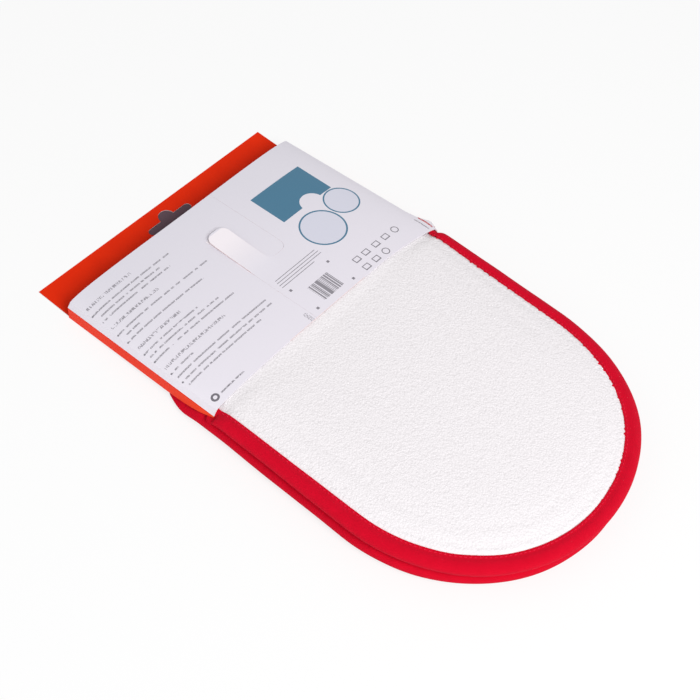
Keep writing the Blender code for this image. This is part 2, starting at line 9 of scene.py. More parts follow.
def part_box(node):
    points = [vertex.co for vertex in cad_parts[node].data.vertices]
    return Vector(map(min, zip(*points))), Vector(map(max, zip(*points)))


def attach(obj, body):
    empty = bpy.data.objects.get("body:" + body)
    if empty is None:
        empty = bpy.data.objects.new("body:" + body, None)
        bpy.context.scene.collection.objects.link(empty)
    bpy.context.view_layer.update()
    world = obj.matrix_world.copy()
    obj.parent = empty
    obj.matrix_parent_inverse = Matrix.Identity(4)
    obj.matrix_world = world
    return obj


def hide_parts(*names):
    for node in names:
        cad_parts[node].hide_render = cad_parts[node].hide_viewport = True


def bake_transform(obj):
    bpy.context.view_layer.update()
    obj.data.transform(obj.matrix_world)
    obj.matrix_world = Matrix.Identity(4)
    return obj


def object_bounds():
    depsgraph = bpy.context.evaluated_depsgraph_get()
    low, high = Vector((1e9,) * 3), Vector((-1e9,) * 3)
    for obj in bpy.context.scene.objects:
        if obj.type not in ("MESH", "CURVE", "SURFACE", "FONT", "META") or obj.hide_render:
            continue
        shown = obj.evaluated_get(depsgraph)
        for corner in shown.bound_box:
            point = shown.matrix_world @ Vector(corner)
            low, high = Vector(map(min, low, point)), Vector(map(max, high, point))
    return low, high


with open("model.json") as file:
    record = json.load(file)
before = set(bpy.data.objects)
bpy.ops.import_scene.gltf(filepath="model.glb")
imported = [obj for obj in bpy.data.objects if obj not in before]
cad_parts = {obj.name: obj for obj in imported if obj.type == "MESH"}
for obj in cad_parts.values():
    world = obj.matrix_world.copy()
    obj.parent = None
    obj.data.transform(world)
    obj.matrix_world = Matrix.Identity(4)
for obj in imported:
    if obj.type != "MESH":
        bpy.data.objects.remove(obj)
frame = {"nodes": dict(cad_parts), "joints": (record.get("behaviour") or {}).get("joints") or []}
cad_low, cad_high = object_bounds()

# Studio: a pale floor that is white to the camera and keeps the pack's soft shadow, a broad key
# light from the tip's side and a soft fill. The camera stands over the pack's near right corner.
# Under the header the floor is painted a deep shade, which shows through the slot.

PURE_WHITE = (1, 1, 1, 1)
FLOOR_COLOUR = (0.9, 0.9, 0.9, 1)
# The floor's painted shade under the header.
FLOOR_PAINTED_SHADE = (0.13, 0.085, 0.105, 1)
FLOOR_GLOW = 0.78
FLOOR_WIDTH = 12.0
HEADER_END_X = -0.131
HEADER_HALF_WIDTH = 0.08
SKY_STRENGTH = 0.44
# Each lamp's name, place, width in metres and power in watts.
LAMPS = (
    ("key_light", (1.0, -0.35, 1.15), 0.8, 18.6),
    ("fill_light", (-0.6, -1.2, 1.0), 1.2, 3.2),
)
VIEW_TARGET = Vector((-0.00922, 0.00148, 0))
VIEW_DISTANCE = 0.75882
VIEW_AZIMUTH = radians(31.82)
VIEW_ELEVATION = radians(52.57)
VIEW_ROLL = radians(10.25)
VIEW_LENS = 73.5


class Wire:
    """A shader socket. Python's signs on it add Math nodes, and node() adds any other node."""

    def __init__(self, tree, socket=None):
        self.tree = tree
        self.socket = socket

    def node(self, kind, settings, inputs, output=0):
        made = self.tree.nodes.new(kind)
        for name, value in settings.items():
            setattr(made, name, value)
        for name, value in inputs.items():
            if isinstance(value, Wire):
                self.tree.links.new(value.socket, made.inputs[name])
            else:
                made.inputs[name].default_value = value
        return Wire(self.tree, made.outputs[output] if made.outputs else None)

    def maths(self, operation, *values):
        return self.node("ShaderNodeMath", {"operation": operation}, dict(enumerate(values)))

    def __add__(self, other):
        return self.maths("ADD", self, other)

    def __sub__(self, other):
        return self.maths("SUBTRACT", self, other)

    def __rsub__(self, other):
        return self.maths("SUBTRACT", other, self)

    def __mul__(self, other):
        return self.maths("MULTIPLY", self, other)

    def __truediv__(self, other):
        return self.maths("DIVIDE", self, other)

    def __pow__(self, other):
        return self.maths("POWER", self, other)

    def __lt__(self, other):
        return self.maths("LESS_THAN", self, other)

    def __gt__(self, other):
        return self.maths("GREATER_THAN", self, other)

    def __abs__(self):
        return self.maths("ABSOLUTE", self)

    __radd__ = __add__
    __rmul__ = __mul__

    def larger(self, other):
        return self.maths("MAXIMUM", self, other)

    def wave(self):
        return self.maths("SINE", self)

    def clamped(self):
        return self.node("ShaderNodeClamp", {}, {"Value": self})

    def tint(self, low, high):
        """A colour between two others, by this value."""
        return self.node("ShaderNodeMix", {"data_type": "RGBA"}, {0: self, 6: low, 7: high}, 2)

    def axes(self):
        """The three parts of a vector."""
        made = self.node("ShaderNodeSeparateXYZ", {}, {"Vector": self})
        return [Wire(self.tree, socket) for socket in made.socket.node.outputs]

    def place(self):
        """Where each point of the piece lies."""
        return self.node("ShaderNodeTexCoord", {}, {}, "Object")

    def cloud(self, scale, detail=2.0):
        """Noise over this place, with a patch every 1 / scale metres."""
        return self.node("ShaderNodeTexNoise", {}, {"Vector": self, "Scale": scale, "Detail": detail})

    def raised(self, strength, distance):
        """The surface's direction when this height raises it."""
        return self.node("ShaderNodeBump", {}, {"Strength": strength, "Distance": distance, "Height": self})

    def cover(self, inputs):
        """Give the material one shader with these inputs."""
        shader = self.node("ShaderNodeBsdfPrincipled", {}, inputs)
        self.node("ShaderNodeOutputMaterial", {}, {"Surface": shader})


def new_finish(name):
    """An empty material, and the wire that starts its nodes."""
    made = bpy.data.materials.new(name)
    made.use_nodes = True
    made.node_tree.nodes.clear()
    return made, Wire(made.node_tree)


def seen_directly(start):
    """1 for what shows to the camera or in gloss and glass, 0 for what lights the pack."""
    rays = ("Is Camera Ray", "Is Glossy Ray", "Is Transmission Ray")
    straight, glossy, through = [start.node("ShaderNodeLightPath", {}, {}, ray) for ray in rays]
    return straight.larger(glossy).larger(through)


scene = bpy.context.scene
scene.view_settings.view_transform = "Standard"

bpy.ops.mesh.primitive_plane_add(size=FLOOR_WIDTH)
floor_sheet = bpy.context.object
floor_sheet.name = "studio_floor"
floor_finish, start = new_finish("studio_floor")
x, y, _ = start.place().axes()
# Painted shade: under the header the floor is coloured dark and does not glow.
under_header = (x < HEADER_END_X) * (x > cad_low.x) * (abs(y) < HEADER_HALF_WIDTH)
matt = start.node("ShaderNodeBsdfDiffuse", {}, {"Color": under_header.tint(FLOOR_COLOUR, FLOOR_PAINTED_SHADE)})
glow = start.node("ShaderNodeEmission", {}, {"Color": PURE_WHITE, "Strength": 1.0})
glowing = seen_directly(start) * (1 - under_header) * FLOOR_GLOW
mixed = start.node("ShaderNodeMixShader", {}, {0: glowing, 1: matt, 2: glow})
start.node("ShaderNodeOutputMaterial", {}, {"Surface": mixed})
floor_sheet.data.materials.append(floor_finish)

world = bpy.data.worlds.new("studio_world")
scene.world = world
world.use_nodes = True
world.node_tree.nodes.clear()
start = Wire(world.node_tree)
strength = seen_directly(start) * (1 - SKY_STRENGTH) + SKY_STRENGTH
sky = start.node("ShaderNodeBackground", {}, {"Color": PURE_WHITE, "Strength": strength})
start.node("ShaderNodeOutputWorld", {}, {"Surface": sky})

pack_middle = (cad_low + cad_high) / 2
for name, place, width, power in LAMPS:
    bpy.ops.object.light_add(type="AREA", location=place)
    lamp = bpy.context.object
    lamp.name = name
    lamp.data.size = width
    lamp.data.energy = power
    lamp.rotation_euler = (pack_middle - Vector(place)).to_track_quat("-Z", "Y").to_euler()

turn = Matrix.Rotation(VIEW_AZIMUTH, 4, "Z") @ Matrix.Rotation(pi / 2 - VIEW_ELEVATION, 4, "X")
turn = Matrix.Translation(VIEW_TARGET) @ turn @ Matrix.Translation((0, 0, VIEW_DISTANCE))
camera_data = bpy.data.cameras.new("photo_camera")
camera_data.lens = VIEW_LENS
camera = bpy.data.objects.new("photo_camera", camera_data)
scene.collection.objects.link(camera)
camera.matrix_world = turn @ Matrix.Rotation(VIEW_ROLL, 4, "Z")
scene.camera = camera

# Card sleeve, printed card half a millimetre thick: the header and front panel in orange
# outside, the side walls folded up from it, and the white back in two flaps.
# The card's cut edges show its pale core.

CARD_THICKNESS = 0.0005
WALL_HEIGHT = 0.0076
CARD_CORE = (0.72, 0.68, 0.66, 1)
ORANGE_DEEP = (0.69, 0.02, 0.003, 1)
ORANGE = (0.84, 0.031, 0.004, 1)
PANEL_MOTTLE = 55.0
FIBRE_SCALE = 1400.0
FIBRE_DEPTH = 0.00003
SHEEN_PATCHES = 30.0

hinges = {joint["name"]: joint for joint in frame["joints"]}
sleeve_along = Vector(hinges["glove_slide"]["axis"]).normalized()
sleeve_up = Vector((-sleeve_along.z, 0, sleeve_along.x))
flap_hinge = Vector(hinges["right_flap_fold"]["pos_m"])
HALF_SLEEVE = flap_hinge.y
crease_place = Vector((flap_hinge.x, 0, flap_hinge.z)) - sleeve_up * WALL_HEIGHT
SLEEVE_PLACE = Matrix((
    (sleeve_along.x, 0, sleeve_up.x, crease_place.x),
    (0, 1, 0, 0),
    (sleeve_along.z, 0, sleeve_up.z, crease_place.z),
    (0, 0, 0, 1),
))
TUBE_LENGTH = (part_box("sleeve_left_wall")[1].x - crease_place.x) / sleeve_along.x


def cover_card(start, colour, roughness, gloss):
    """Give a card its colour and shine, with the faint tooth of coated board."""
    fibre = start.place().cloud(FIBRE_SCALE)
    start.cover({
        "Base Color": colour,
        "Roughness": roughness + start.place().cloud(SHEEN_PATCHES) * 0.12,
        "Specular IOR Level": gloss,
        "Normal": fibre.raised(0.25, FIBRE_DEPTH),
    })


def facing_sideways(start, most):
    """1 on the cut edges of a card that lies flat, 0 on its faces."""
    upwards = start.node("ShaderNodeTexCoord", {}, {}, "Normal").axes()[2]
    return abs(upwards) < most


panel_finish, start = new_finish("orange_card")
printed = start.place().cloud(PANEL_MOTTLE, 4.0).tint(ORANGE_DEEP, ORANGE)
cover_card(start, facing_sideways(start, 0.5).tint(printed, CARD_CORE), roughness=0.4, gloss=0.05)
front_panel = frame["nodes"]["sleeve_front_panel"]
front_panel.data.materials.clear()
front_panel.data.materials.append(panel_finish)

# Side walls: strips of the same card, a lighter orange, folded up from the front panel. Past the
# panel each is cut back in a curve up to the mouth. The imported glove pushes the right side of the
# sleeve outwards, most at its mouth, so that wall and its flap spread there.

FRONT_LENGTH = 0.0705
WALL_TIP = 0.0006
WALL_CURVE = 1.7
WALL_FLARE = 0.0007
WALL_STEPS = 52
WALL_ROWS = 6
SEAM_GAP = 0.00006
MOUTH_SPREAD = 0.0034
MOUTH_REACH = 0.0036
MOUTH_CURVE = 4
REACH_FROM_Y = 0.045
REACH_CURVE = 1.3
EDGE_BULGE = 0.004
BULGE_RUN = 0.097
BULGE_HALF_RUN = 0.0045
BULGE_CURVE = 12
WALL_ORANGE = (0.9, 0.045, 0.018, 1)
WALL_ORANGE_LIGHT = (0.94, 0.06, 0.026, 1)
# Painted highlight at the walls' cut-back ends.
WALL_TIP_HIGHLIGHT = (0.94, 0.07, 0.02, 1)
WALL_MOTTLE = 70.0

wall_finish, start = new_finish("orange_card_wall")
place = start.place()
along = (place.axes()[0] - (crease_place.x + FRONT_LENGTH)) / (TUBE_LENGTH - FRONT_LENGTH)
worn = place.cloud(WALL_MOTTLE, 4.0).tint(WALL_ORANGE, WALL_ORANGE_LIGHT)
# Painted highlight: the wall turns a lighter orange towards its cut-back end, where it curves outwards.
cover_card(start, along.clamped().tint(worn, WALL_TIP_HIGHLIGHT), roughness=0.5, gloss=0.08)


def pick(*pieces):
    """Select these pieces alone, the last one active."""
    bpy.ops.object.select_all(action="DESELECT")
    for piece in pieces:
        piece.select_set(True)
        bpy.context.view_layer.objects.active = piece


def apply_all(piece):
    """Apply each modifier of a piece in turn."""
    pick(piece)
    for modifier in list(piece.modifiers):
        bpy.ops.object.modifier_apply(modifier=modifier.name)


def thicken(piece, thickness, offset):
    """Give a sheet its thickness, to one side (offset 1 or -1) or both (0)."""
    wall = piece.modifiers.new("thickness", "SOLIDIFY")
    wall.thickness = thickness
    wall.offset = offset
    wall.use_even_offset = True
    apply_all(piece)


def finish_piece(piece, name, finish, angle):
    """Name a finished piece, give it its material, and shade it smooth up to an angle."""
    piece.name = name
    piece.data.name = name
    piece.data.materials.clear()
    piece.data.materials.append(finish)
    pick(piece)
    bpy.ops.object.shade_smooth_by_angle(angle=radians(angle))


def bounded(value, low=0.0, high=1.0):
    """A value kept between two limits."""
    return min(max(value, low), high)


def flared(run, y):
    """Where a place on the sleeve goes: its right side spreads and reaches on at the mouth."""
    near = bounded(run / TUBE_LENGTH)
    share = max(y, 0.0) / HALF_SLEEVE
    reach = max(0.0, (y - REACH_FROM_Y) / (HALF_SLEEVE - REACH_FROM_Y)) ** REACH_CURVE
    bulge = EDGE_BULGE * exp(-(((run - BULGE_RUN) / BULGE_HALF_RUN) ** 2)) * share ** BULGE_CURVE
    return run + MOUTH_REACH * reach * near ** MOUTH_CURVE, y + MOUTH_SPREAD * near * share + bulge


def wall_foot(run):
    """Height of a side wall's lower edge over the front panel's outer face."""
    part = bounded((run - FRONT_LENGTH) / (TUBE_LENGTH - FRONT_LENGTH))
    return (WALL_HEIGHT - WALL_TIP) * part ** WALL_CURVE


for side, way in (("left", -1), ("right", 1)):
    bpy.ops.mesh.primitive_grid_add(x_subdivisions=WALL_STEPS, y_subdivisions=WALL_ROWS, size=1)
    wall = bpy.context.object
    for vert in wall.data.vertices:
        run, share = (vert.co.x + 0.5) * TUBE_LENGTH, vert.co.y + 0.5
        foot = wall_foot(run)
        flare = WALL_FLARE * sin(pi * min(foot / WALL_HEIGHT, 1)) * (1 - share)
        height = foot + (WALL_HEIGHT - SEAM_GAP - foot) * share
        y = way * (HALF_SLEEVE + CARD_THICKNESS / 2 + flare)
        moved_run, moved_y = flared(run, y)
        loose = max(share, foot / WALL_HEIGHT)
        vert.co = (run + (moved_run - run) * loose, y + (moved_y - y) * loose, height)
    thicken(wall, CARD_THICKNESS, 0)
    wall.data.transform(SLEEVE_PLACE)
    finish_piece(wall, f"{side}_wall", wall_finish, 50)
    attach(wall, "sleeve")
    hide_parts(f"sleeve_{side}_wall")

# Back flaps: the white back of the sleeve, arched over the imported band. The two flaps meet
# on a stepped seam, and the right one's tongue lies on the left one and holds it down.
# The print on it is plain strokes, boxes, bars and discs.

CROWN_AT_HEADER = 0.0074
CROWN_AT_MOUTH = 0.0083
ARCH_FULLNESS = 2.8
SEAM_NEAR_HEADER_Y = 0.0189
SEAM_NEAR_MOUTH_Y = -0.0091
TONGUE_SEAM_Y = 0.0051
TONGUES_START = 0.0242
TONGUES_END = 0.0588
TONGUE_RAMP = 0.004
TONGUE_RADIUS = 0.0052
TONGUE_CORNER_STEPS = 8
TONGUE_TIP_LIFT = 0.0015
HEADER_INSET = 0.0015
HEADER_INSET_RUN = 0.02
ARCH_PITCH = 0.002
CARD_PITCH = 0.006


def choose(piece, kind, test):
    """In edit mode, select the corners, edges or faces whose middle passes a test."""
    bpy.ops.mesh.select_mode(type=kind)
    bpy.ops.mesh.select_all(action="DESELECT")
    mesh = bmesh.from_edit_mesh(piece.data)
    items = {"VERT": mesh.verts, "EDGE": mesh.edges, "FACE": mesh.faces}[kind]
    for item in items:
        points = [item.co] if kind == "VERT" else [vert.co for vert in item.verts]
        if test(sum(points, Vector()) / len(points)):
            item.select_set(True)
    mesh.select_flush_mode()
    bmesh.update_edit_mesh(piece.data)


def slice_at(axis, places):
    """In edit mode, cut the whole piece by planes across an axis."""
    across = Vector([1.0 if name == axis else 0.0 for name in "xyz"])
    for place in places:
        bpy.ops.mesh.select_all(action="SELECT")
        bpy.ops.mesh.bisect(plane_co=across * place, plane_no=across)


def steps_between(low, high, pitch):
    """Even places between two ends, about a pitch apart, the ends left out."""
    count = max(1, round((high - low) / pitch))
    return [low + (high - low) * step / count for step in range(1, count)]


def arch_rise(run, y):
    """Height of the arched back over its side creases."""
    share = min(abs(y) / HALF_SLEEVE, 1.0)
    crown = CROWN_AT_HEADER + (CROWN_AT_MOUTH - CROWN_AT_HEADER) * bounded(run / TUBE_LENGTH)
    return crown * (1 - share ** ARCH_FULLNESS) ** (1 / ARCH_FULLNESS)


def cut_card(patches, corners):
    """A flat card made of rectangles (x0, x1, y0, y1), with some outer corners rounded."""
    low_x, high_x = min(p[0] for p in patches), max(p[1] for p in patches)
    low_y, high_y = min(p[2] for p in patches), max(p[3] for p in patches)
    middle = ((low_x + high_x) / 2, (low_y + high_y) / 2, 0)
    bpy.ops.mesh.primitive_plane_add(size=1, location=middle)
    card = bpy.context.object
    card.scale = (high_x - low_x, high_y - low_y, 1)
    bpy.ops.object.transform_apply()
    bpy.ops.object.mode_set(mode="EDIT")
    slice_at("x", sorted({x for p in patches for x in p[:2]} - {low_x, high_x}))
    slice_at("y", sorted({y for p in patches for y in p[2:]} - {low_y, high_y}))
    choose(card, "FACE", lambda at: not any(p[0] < at.x < p[1] and p[2] < at.y < p[3] for p in patches))
    bpy.ops.mesh.delete(type="FACE")
    bpy.ops.mesh.select_all(action="SELECT")
    bpy.ops.mesh.dissolve_limited(angle_limit=radians(1))
    choose(card, "VERT", lambda at: any(hypot(at.x - x, at.y - y) < SEAM_GAP / 2 for x, y in corners))
    bpy.ops.mesh.bevel(offset=TONGUE_RADIUS, segments=TONGUE_CORNER_STEPS, affect="VERTICES")
    slice_at("y", steps_between(low_y, high_y, ARCH_PITCH))
    slice_at("x", steps_between(low_x, high_x, CARD_PITCH))
    bpy.ops.object.mode_set(mode="OBJECT")
    return card


left_patches = [
    (0, TUBE_LENGTH, -HALF_SLEEVE, SEAM_NEAR_MOUTH_Y - SEAM_GAP),
    (0, TONGUES_END - TONGUE_RAMP - SEAM_GAP, SEAM_NEAR_MOUTH_Y - SEAM_GAP, TONGUE_SEAM_Y + SEAM_GAP),
    (0, TONGUES_END, TONGUE_SEAM_Y + SEAM_GAP, SEAM_NEAR_HEADER_Y - SEAM_GAP),
]
left_corners = [(TONGUES_END, TONGUE_SEAM_Y + SEAM_GAP), (TONGUES_END, SEAM_NEAR_HEADER_Y - SEAM_GAP)]
right_patches = [
    (0, TUBE_LENGTH, SEAM_NEAR_HEADER_Y, HALF_SLEEVE),
    (TONGUES_END + SEAM_GAP, TUBE_LENGTH, SEAM_NEAR_MOUTH_Y, SEAM_NEAR_HEADER_Y),
    (TONGUES_START, TONGUES_END + SEAM_GAP, SEAM_NEAR_MOUTH_Y, TONGUE_SEAM_Y),
]
right_corners = [(TONGUES_START, SEAM_NEAR_MOUTH_Y), (TONGUES_START, TONGUE_SEAM_Y)]
right_corners += [(TONGUES_END + SEAM_GAP, TONGUE_SEAM_Y), (TONGUES_END + SEAM_GAP, SEAM_NEAR_HEADER_Y)]

WHITE_CARD = (0.745, 0.722, 0.79, 1)
WHITE_CARD_WARM = (0.83, 0.79, 0.86, 1)
CARD_MOTTLE = 24.0
# Painted highlight on the raised tongue.
TONGUE_HIGHLIGHT = (0.93, 0.87, 0.91, 1)
EDGE_PEACH = (0.82, 0.62, 0.6, 1)
EDGE_HALF_WIDTH = 0.03
INK = (0.09, 0.08, 0.1, 1)
INK_RED = (0.5, 0.03, 0.03, 1)
PICTURE_TEAL = (0.058, 0.18, 0.285, 1)
PICTURE_PALE = (0.69, 0.69, 0.79, 1)
# How often the strokes change across a row and along the card, and the level they are inked over.
WORDS = (430, 190, 0.4)
STROKES = (1500, 500, 0.5)
LETTERS = (1900, 1100)
BARS = (1300, 0, 0.47)
# The print's places in millimetres: the run along the card, then the place across it. A row
# has its run and its two ends, and a box has its two runs and its two sides.
PRINT_UNIT = 0.001
TEXT_HEIGHT = 1.0
HEADING_HEIGHT = 1.8
RULE_HEIGHT = 0.44
HEADINGS = [(11.0, -84.0, -52.0), (29.3, -83.4, -49.6), (48.6, -83.9, -53.5), (67.6, -83.7, -40.0)]
TEXT_ROWS = [
    (16.1, -83.7, -28.5), (19.7, -81.5, -38.9), (23.0, -83.7, -34.3),
    (34.7, -83.7, -18.5), (38.1, -81.9, -72.1), (41.8, -83.6, -28.7),
    (53.5, -83.3, -45.4), (57.0, -83.5, -33.3), (60.7, -83.6, -25.6),
    (72.2, -83.4, -67.7), (76.3, -83.5, -17.9), (80.1, -82.6, -17.5), (83.6, -83.0, -29.6),
    (99.6, -76.7, -60.0),
]
RULES = [(71.6, -5.0, 26.5), (73.5, -5.6, 27.4), (75.4, -5.9, 27.7), (77.3, -5.9, 20.0)]
BULLETS = [
    (16.1, -84.2), (34.7, -84.2), (41.8, -84.1), (53.5, -84.0), (60.7, -84.0), (72.2, -83.8), (80.1, -83.8),
]
BULLET_RADIUS = 0.55
CORNER_TICKS = [(81.8, -4.2), (82.6, 25.0), (100.5, 25.0), (100.3, -3.8)]
TICK_REACH = (-0.8, 0.8, -0.8, 0.8)
SQUARES = [(93.0, 37.0), (93.0, 44.6), (93.0, 53.2), (93.0, 61.4), (100.2, 36.7), (100.2, 44.8)]
SQUARE_REACH = (-1.9, 1.9, -2.3, 2.3)
SQUARE_HOLE = (-1.4, 1.2, -1.7, 1.7)
RINGS = [(93.0, 69.6, 2.4, 1.8), (100.2, 52.9, 2.4, 1.8)]
BOLD_RING = (99.0, -80.4, 2.3, 1.1)
BAR_BOX = (87.0, 99.4, 3.0, 18.8)
SMALL_BOX = (97.6, 104.0, -13.0, -10.4)
EDGE_DASHES = [((95.0, 105.5, 84.4, 85.4), 0.6, INK), ((95.0, 105.5, 87.6, 88.9), 1.0, INK_RED)]
PICTURE_BLOCK = (21.0, 46.0, 31.0, 71.0)
PICTURE_BITE = (47.0, 54.0, 7.5)
PICTURE_DISCS = [(64.0, 43.0, 13.6, 12.6), (57.0, 67.0, 10.6, 9.7)]


def print_colour(start, plain):
    """The card's print over its plain colour: grey rows, a plain picture, bars and small marks."""
    x, y, z = start.place().axes()
    run = (x - crease_place.x) * sleeve_along.x + (z - crease_place.z) * sleeve_along.z

    def band(value, low, high):
        return abs(value - (low + high) / 2 * PRINT_UNIT) < (high - low) / 2 * PRINT_UNIT

    def box(low_run, high_run, low_y, high_y):
        return band(run, low_run, high_run) * band(y, low_y, high_y)

    def box_round(middle, reach):
        return box(middle[0] + reach[0], middle[0] + reach[1], middle[1] + reach[2], middle[1] + reach[3])

    def row(at, low, high, height):
        return box(at - height / 2, at + height / 2, low, high)

    def disc(at_run, at_y, radius):
        far = (run - at_run * PRINT_UNIT) ** 2 + (y - at_y * PRINT_UNIT) ** 2
        return far < (radius * PRINT_UNIT) ** 2

    def ring(at_run, at_y, outer, inner):
        return disc(at_run, at_y, outer) - disc(at_run, at_y, inner)

    def field(across, along, detail):
        spot = start.node("ShaderNodeCombineXYZ", {}, {"X": y * across, "Y": run * along})
        return spot.cloud(1.0, detail)

    letters = field(*LETTERS, 1.0)
    words = (field(*WORDS[:2], 0.0) > WORDS[2]) * (letters * 1.6 - 0.25).clamped()
    strokes = field(*STROKES[:2], 0.0) > STROKES[2]
    bars = field(*BARS[:2], 0.0) > BARS[2]
    marks = sum(disc(*at, BULLET_RADIUS) for at in BULLETS)
    marks = marks + sum(box_round(at, TICK_REACH) for at in CORNER_TICKS)
    marks = marks + sum(box_round(at, SQUARE_REACH) - box_round(at, SQUARE_HOLE) for at in SQUARES)
    marks = marks + sum(ring(*at) for at in RINGS)
    ink = sum(row(*at, TEXT_HEIGHT) for at in TEXT_ROWS) * words
    ink = ink + sum(row(*at, HEADING_HEIGHT) for at in HEADINGS) * strokes * 0.62
    ink = ink + sum(row(*at, RULE_HEIGHT) for at in RULES) * 0.75
    ink = ink + box(*BAR_BOX) * bars * 0.75
    ink = ink + box(*SMALL_BOX) * (letters > 0.5) * 0.5
    ink = ink + marks * 0.8 + ring(*BOLD_RING) * 0.9
    printed = ink.clamped().tint(plain, INK)
    for place, strength, colour in EDGE_DASHES:
        printed = (box(*place) * (letters > 0.42) * strength).tint(printed, colour)
    pale = sum(disc(at_run, at_y, outer) for at_run, at_y, outer, inner in PICTURE_DISCS)
    printed = pale.clamped().tint(printed, PICTURE_PALE)
    block = box(*PICTURE_BLOCK) * (1 - disc(*PICTURE_BITE))
    return (block + sum(ring(*at) for at in PICTURE_DISCS)).clamped().tint(printed, PICTURE_TEAL)


flap_finish, start = new_finish("white_card")
place = start.place()
x, y, _ = place.axes()
towards_mouth = (x - crease_place.x) / TUBE_LENGTH
warmth = place.cloud(CARD_MOTTLE, 3.0) * 0.25 + towards_mouth * 0.75
plain = warmth.clamped().tint(WHITE_CARD, WHITE_CARD_WARM)
# Painted highlight: the raised tongue is coloured lighter and warmer than the card around it.
tongue_middle = (SEAM_NEAR_MOUTH_Y + TONGUE_SEAM_Y) / 2
on_tongue = abs(y - tongue_middle) < (TONGUE_SEAM_Y - SEAM_NEAR_MOUTH_Y) / 2
on_tongue = on_tongue * (towards_mouth * TUBE_LENGTH > TONGUES_START)
on_tongue = on_tongue * ((TONGUES_END / TUBE_LENGTH - towards_mouth) * 4).clamped()
plain = on_tongue.tint(plain, TONGUE_HIGHLIGHT)
cut_edge = facing_sideways(start, 0.35) * (abs(y) < EDGE_HALF_WIDTH)
cover_card(start, cut_edge.tint(print_colour(start, plain), EDGE_PEACH), roughness=0.36, gloss=0.4)

for side, patches, corners in (
    ("left", left_patches, left_corners),
    ("right", right_patches, right_corners),
):
    flap = cut_card(patches, corners)
    for vert in flap.data.vertices:
        run, y = vert.co.x, vert.co.y
        vert.co.z = WALL_HEIGHT + arch_rise(run, y)
        if side == "right" and run < TONGUES_END and y < SEAM_NEAR_HEADER_Y - TONGUE_RADIUS:
            vert.co.z += (CARD_THICKNESS + SEAM_GAP) * min(1.0, (TONGUES_END - run) / TONGUE_RAMP)
            vert.co.z += TONGUE_TIP_LIFT * (1 - (run - TONGUES_START) / (TONGUES_END - TONGUES_START)) ** 2
        vert.co.x, vert.co.y = flared(run, y)
        vert.co.x += HEADER_INSET * (1 - (y / HALF_SLEEVE) ** 2) * max(0.0, 1 - run / HEADER_INSET_RUN)
    thicken(flap, CARD_THICKNESS, 1)
    flap.data.transform(SLEEVE_PLACE)
    finish_piece(flap, f"{side}_back_flap", flap_finish, 30)
    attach(flap, f"{side}_flap")
    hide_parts(f"sleeve_{side}_back_flap")

# Glove layers: cotton terry, wadding, lining and a thin barrier, cut to one rounded outline
# and sewn together at the rim. They are flat in the middle and drawn in at the rim.
# The outer terry is the large white face, swelled by the wadding under it.

split_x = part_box("upper_pocket_terry")[0].x
rim_low, rim_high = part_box("upper_edge_binding")
lower_rim_low, lower_rim_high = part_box("lower_edge_binding")
RIM_RADIUS = (rim_high.y - rim_low.y) / 2
ROUND_X = rim_high.x - RIM_RADIUS
PACK_MIDDLE_Z = (rim_low.z + lower_rim_high.z) / 2
BINDING_WIDTH = 0.0072
CROWN_RUN = 0.0144
LAYER_SETBACK = 0.0036
PALM_SHIFT = 0.00115
PATCH_SHIFT = 0.0027
TERRY_TUCK = 0.0028
HIDDEN_PITCH = 0.004
TERRY_PITCH = 0.0026
# How the card's mouth presses the cloth, and how the cloth springs up past it.
CARD_GAP = 0.0002
SPRING_RUN = 0.006
RIGHT_SPRING = 0.4
INSIDE_CARD = 0.0855
CORNER_EASE = 0.0012
SIDE_DRAW = 0.03
SIDE_DRAW_CURVE = 8
LEAST_SHARE = 0.12
RIM_BLEND = 0.006
LIP_TUCK = 0.0005
# Where the binding's lip reaches further in, and the round end stands out further.
LIP_WIDENS_X = -0.01
LIP_WIDEN_RUN = 0.03
TIP_LIP = 0.0010
RIGHT_LIP = 0.0008
TIP_OUT = 0.0017
FULLER_RIGHT = 0.0026
FULLER_LEFT = 0.0006
LOWER_OUT = 0.35
# How the outer terry swells, its rim and its edge at the card's mouth sewn down.
PUFF_PRESSURE = 4.0
PUFF_FRAMES = 20
PUFF_CAP = 0.0012
SEWN_WIDTH = 0.0078
MOUTH_SEWN = 0.001
# The terry's loops: their height, and how often their tallness, clumps and rows change.
OUTER_FACE = 0.3
TERRY_CUTS = 3
HIDDEN_TERRY_CUTS = 1
LOOP_HEIGHT = 0.00021
LOOP_GRAIN = 950
CLUMP_GRAIN = 330
CLUMP_SHARE = 0.4
LOOP_ROW = 0.0023
ROW_SLANT = 0.8
ROW_SHARE = 0.3
LIP_LOOP_WIDTH = 0.002
LIP_LOOP_RISE = 0.0004
LIP_LOOP_REACH = 0.0008
LIP_LOOP_GRAIN = 700


def from_rim(x, y):
    """How far a place on the glove lies in from its rim."""
    if x < ROUND_X:
        return RIM_RADIUS - abs(y)
    return RIM_RADIUS - hypot(x - ROUND_X, y)


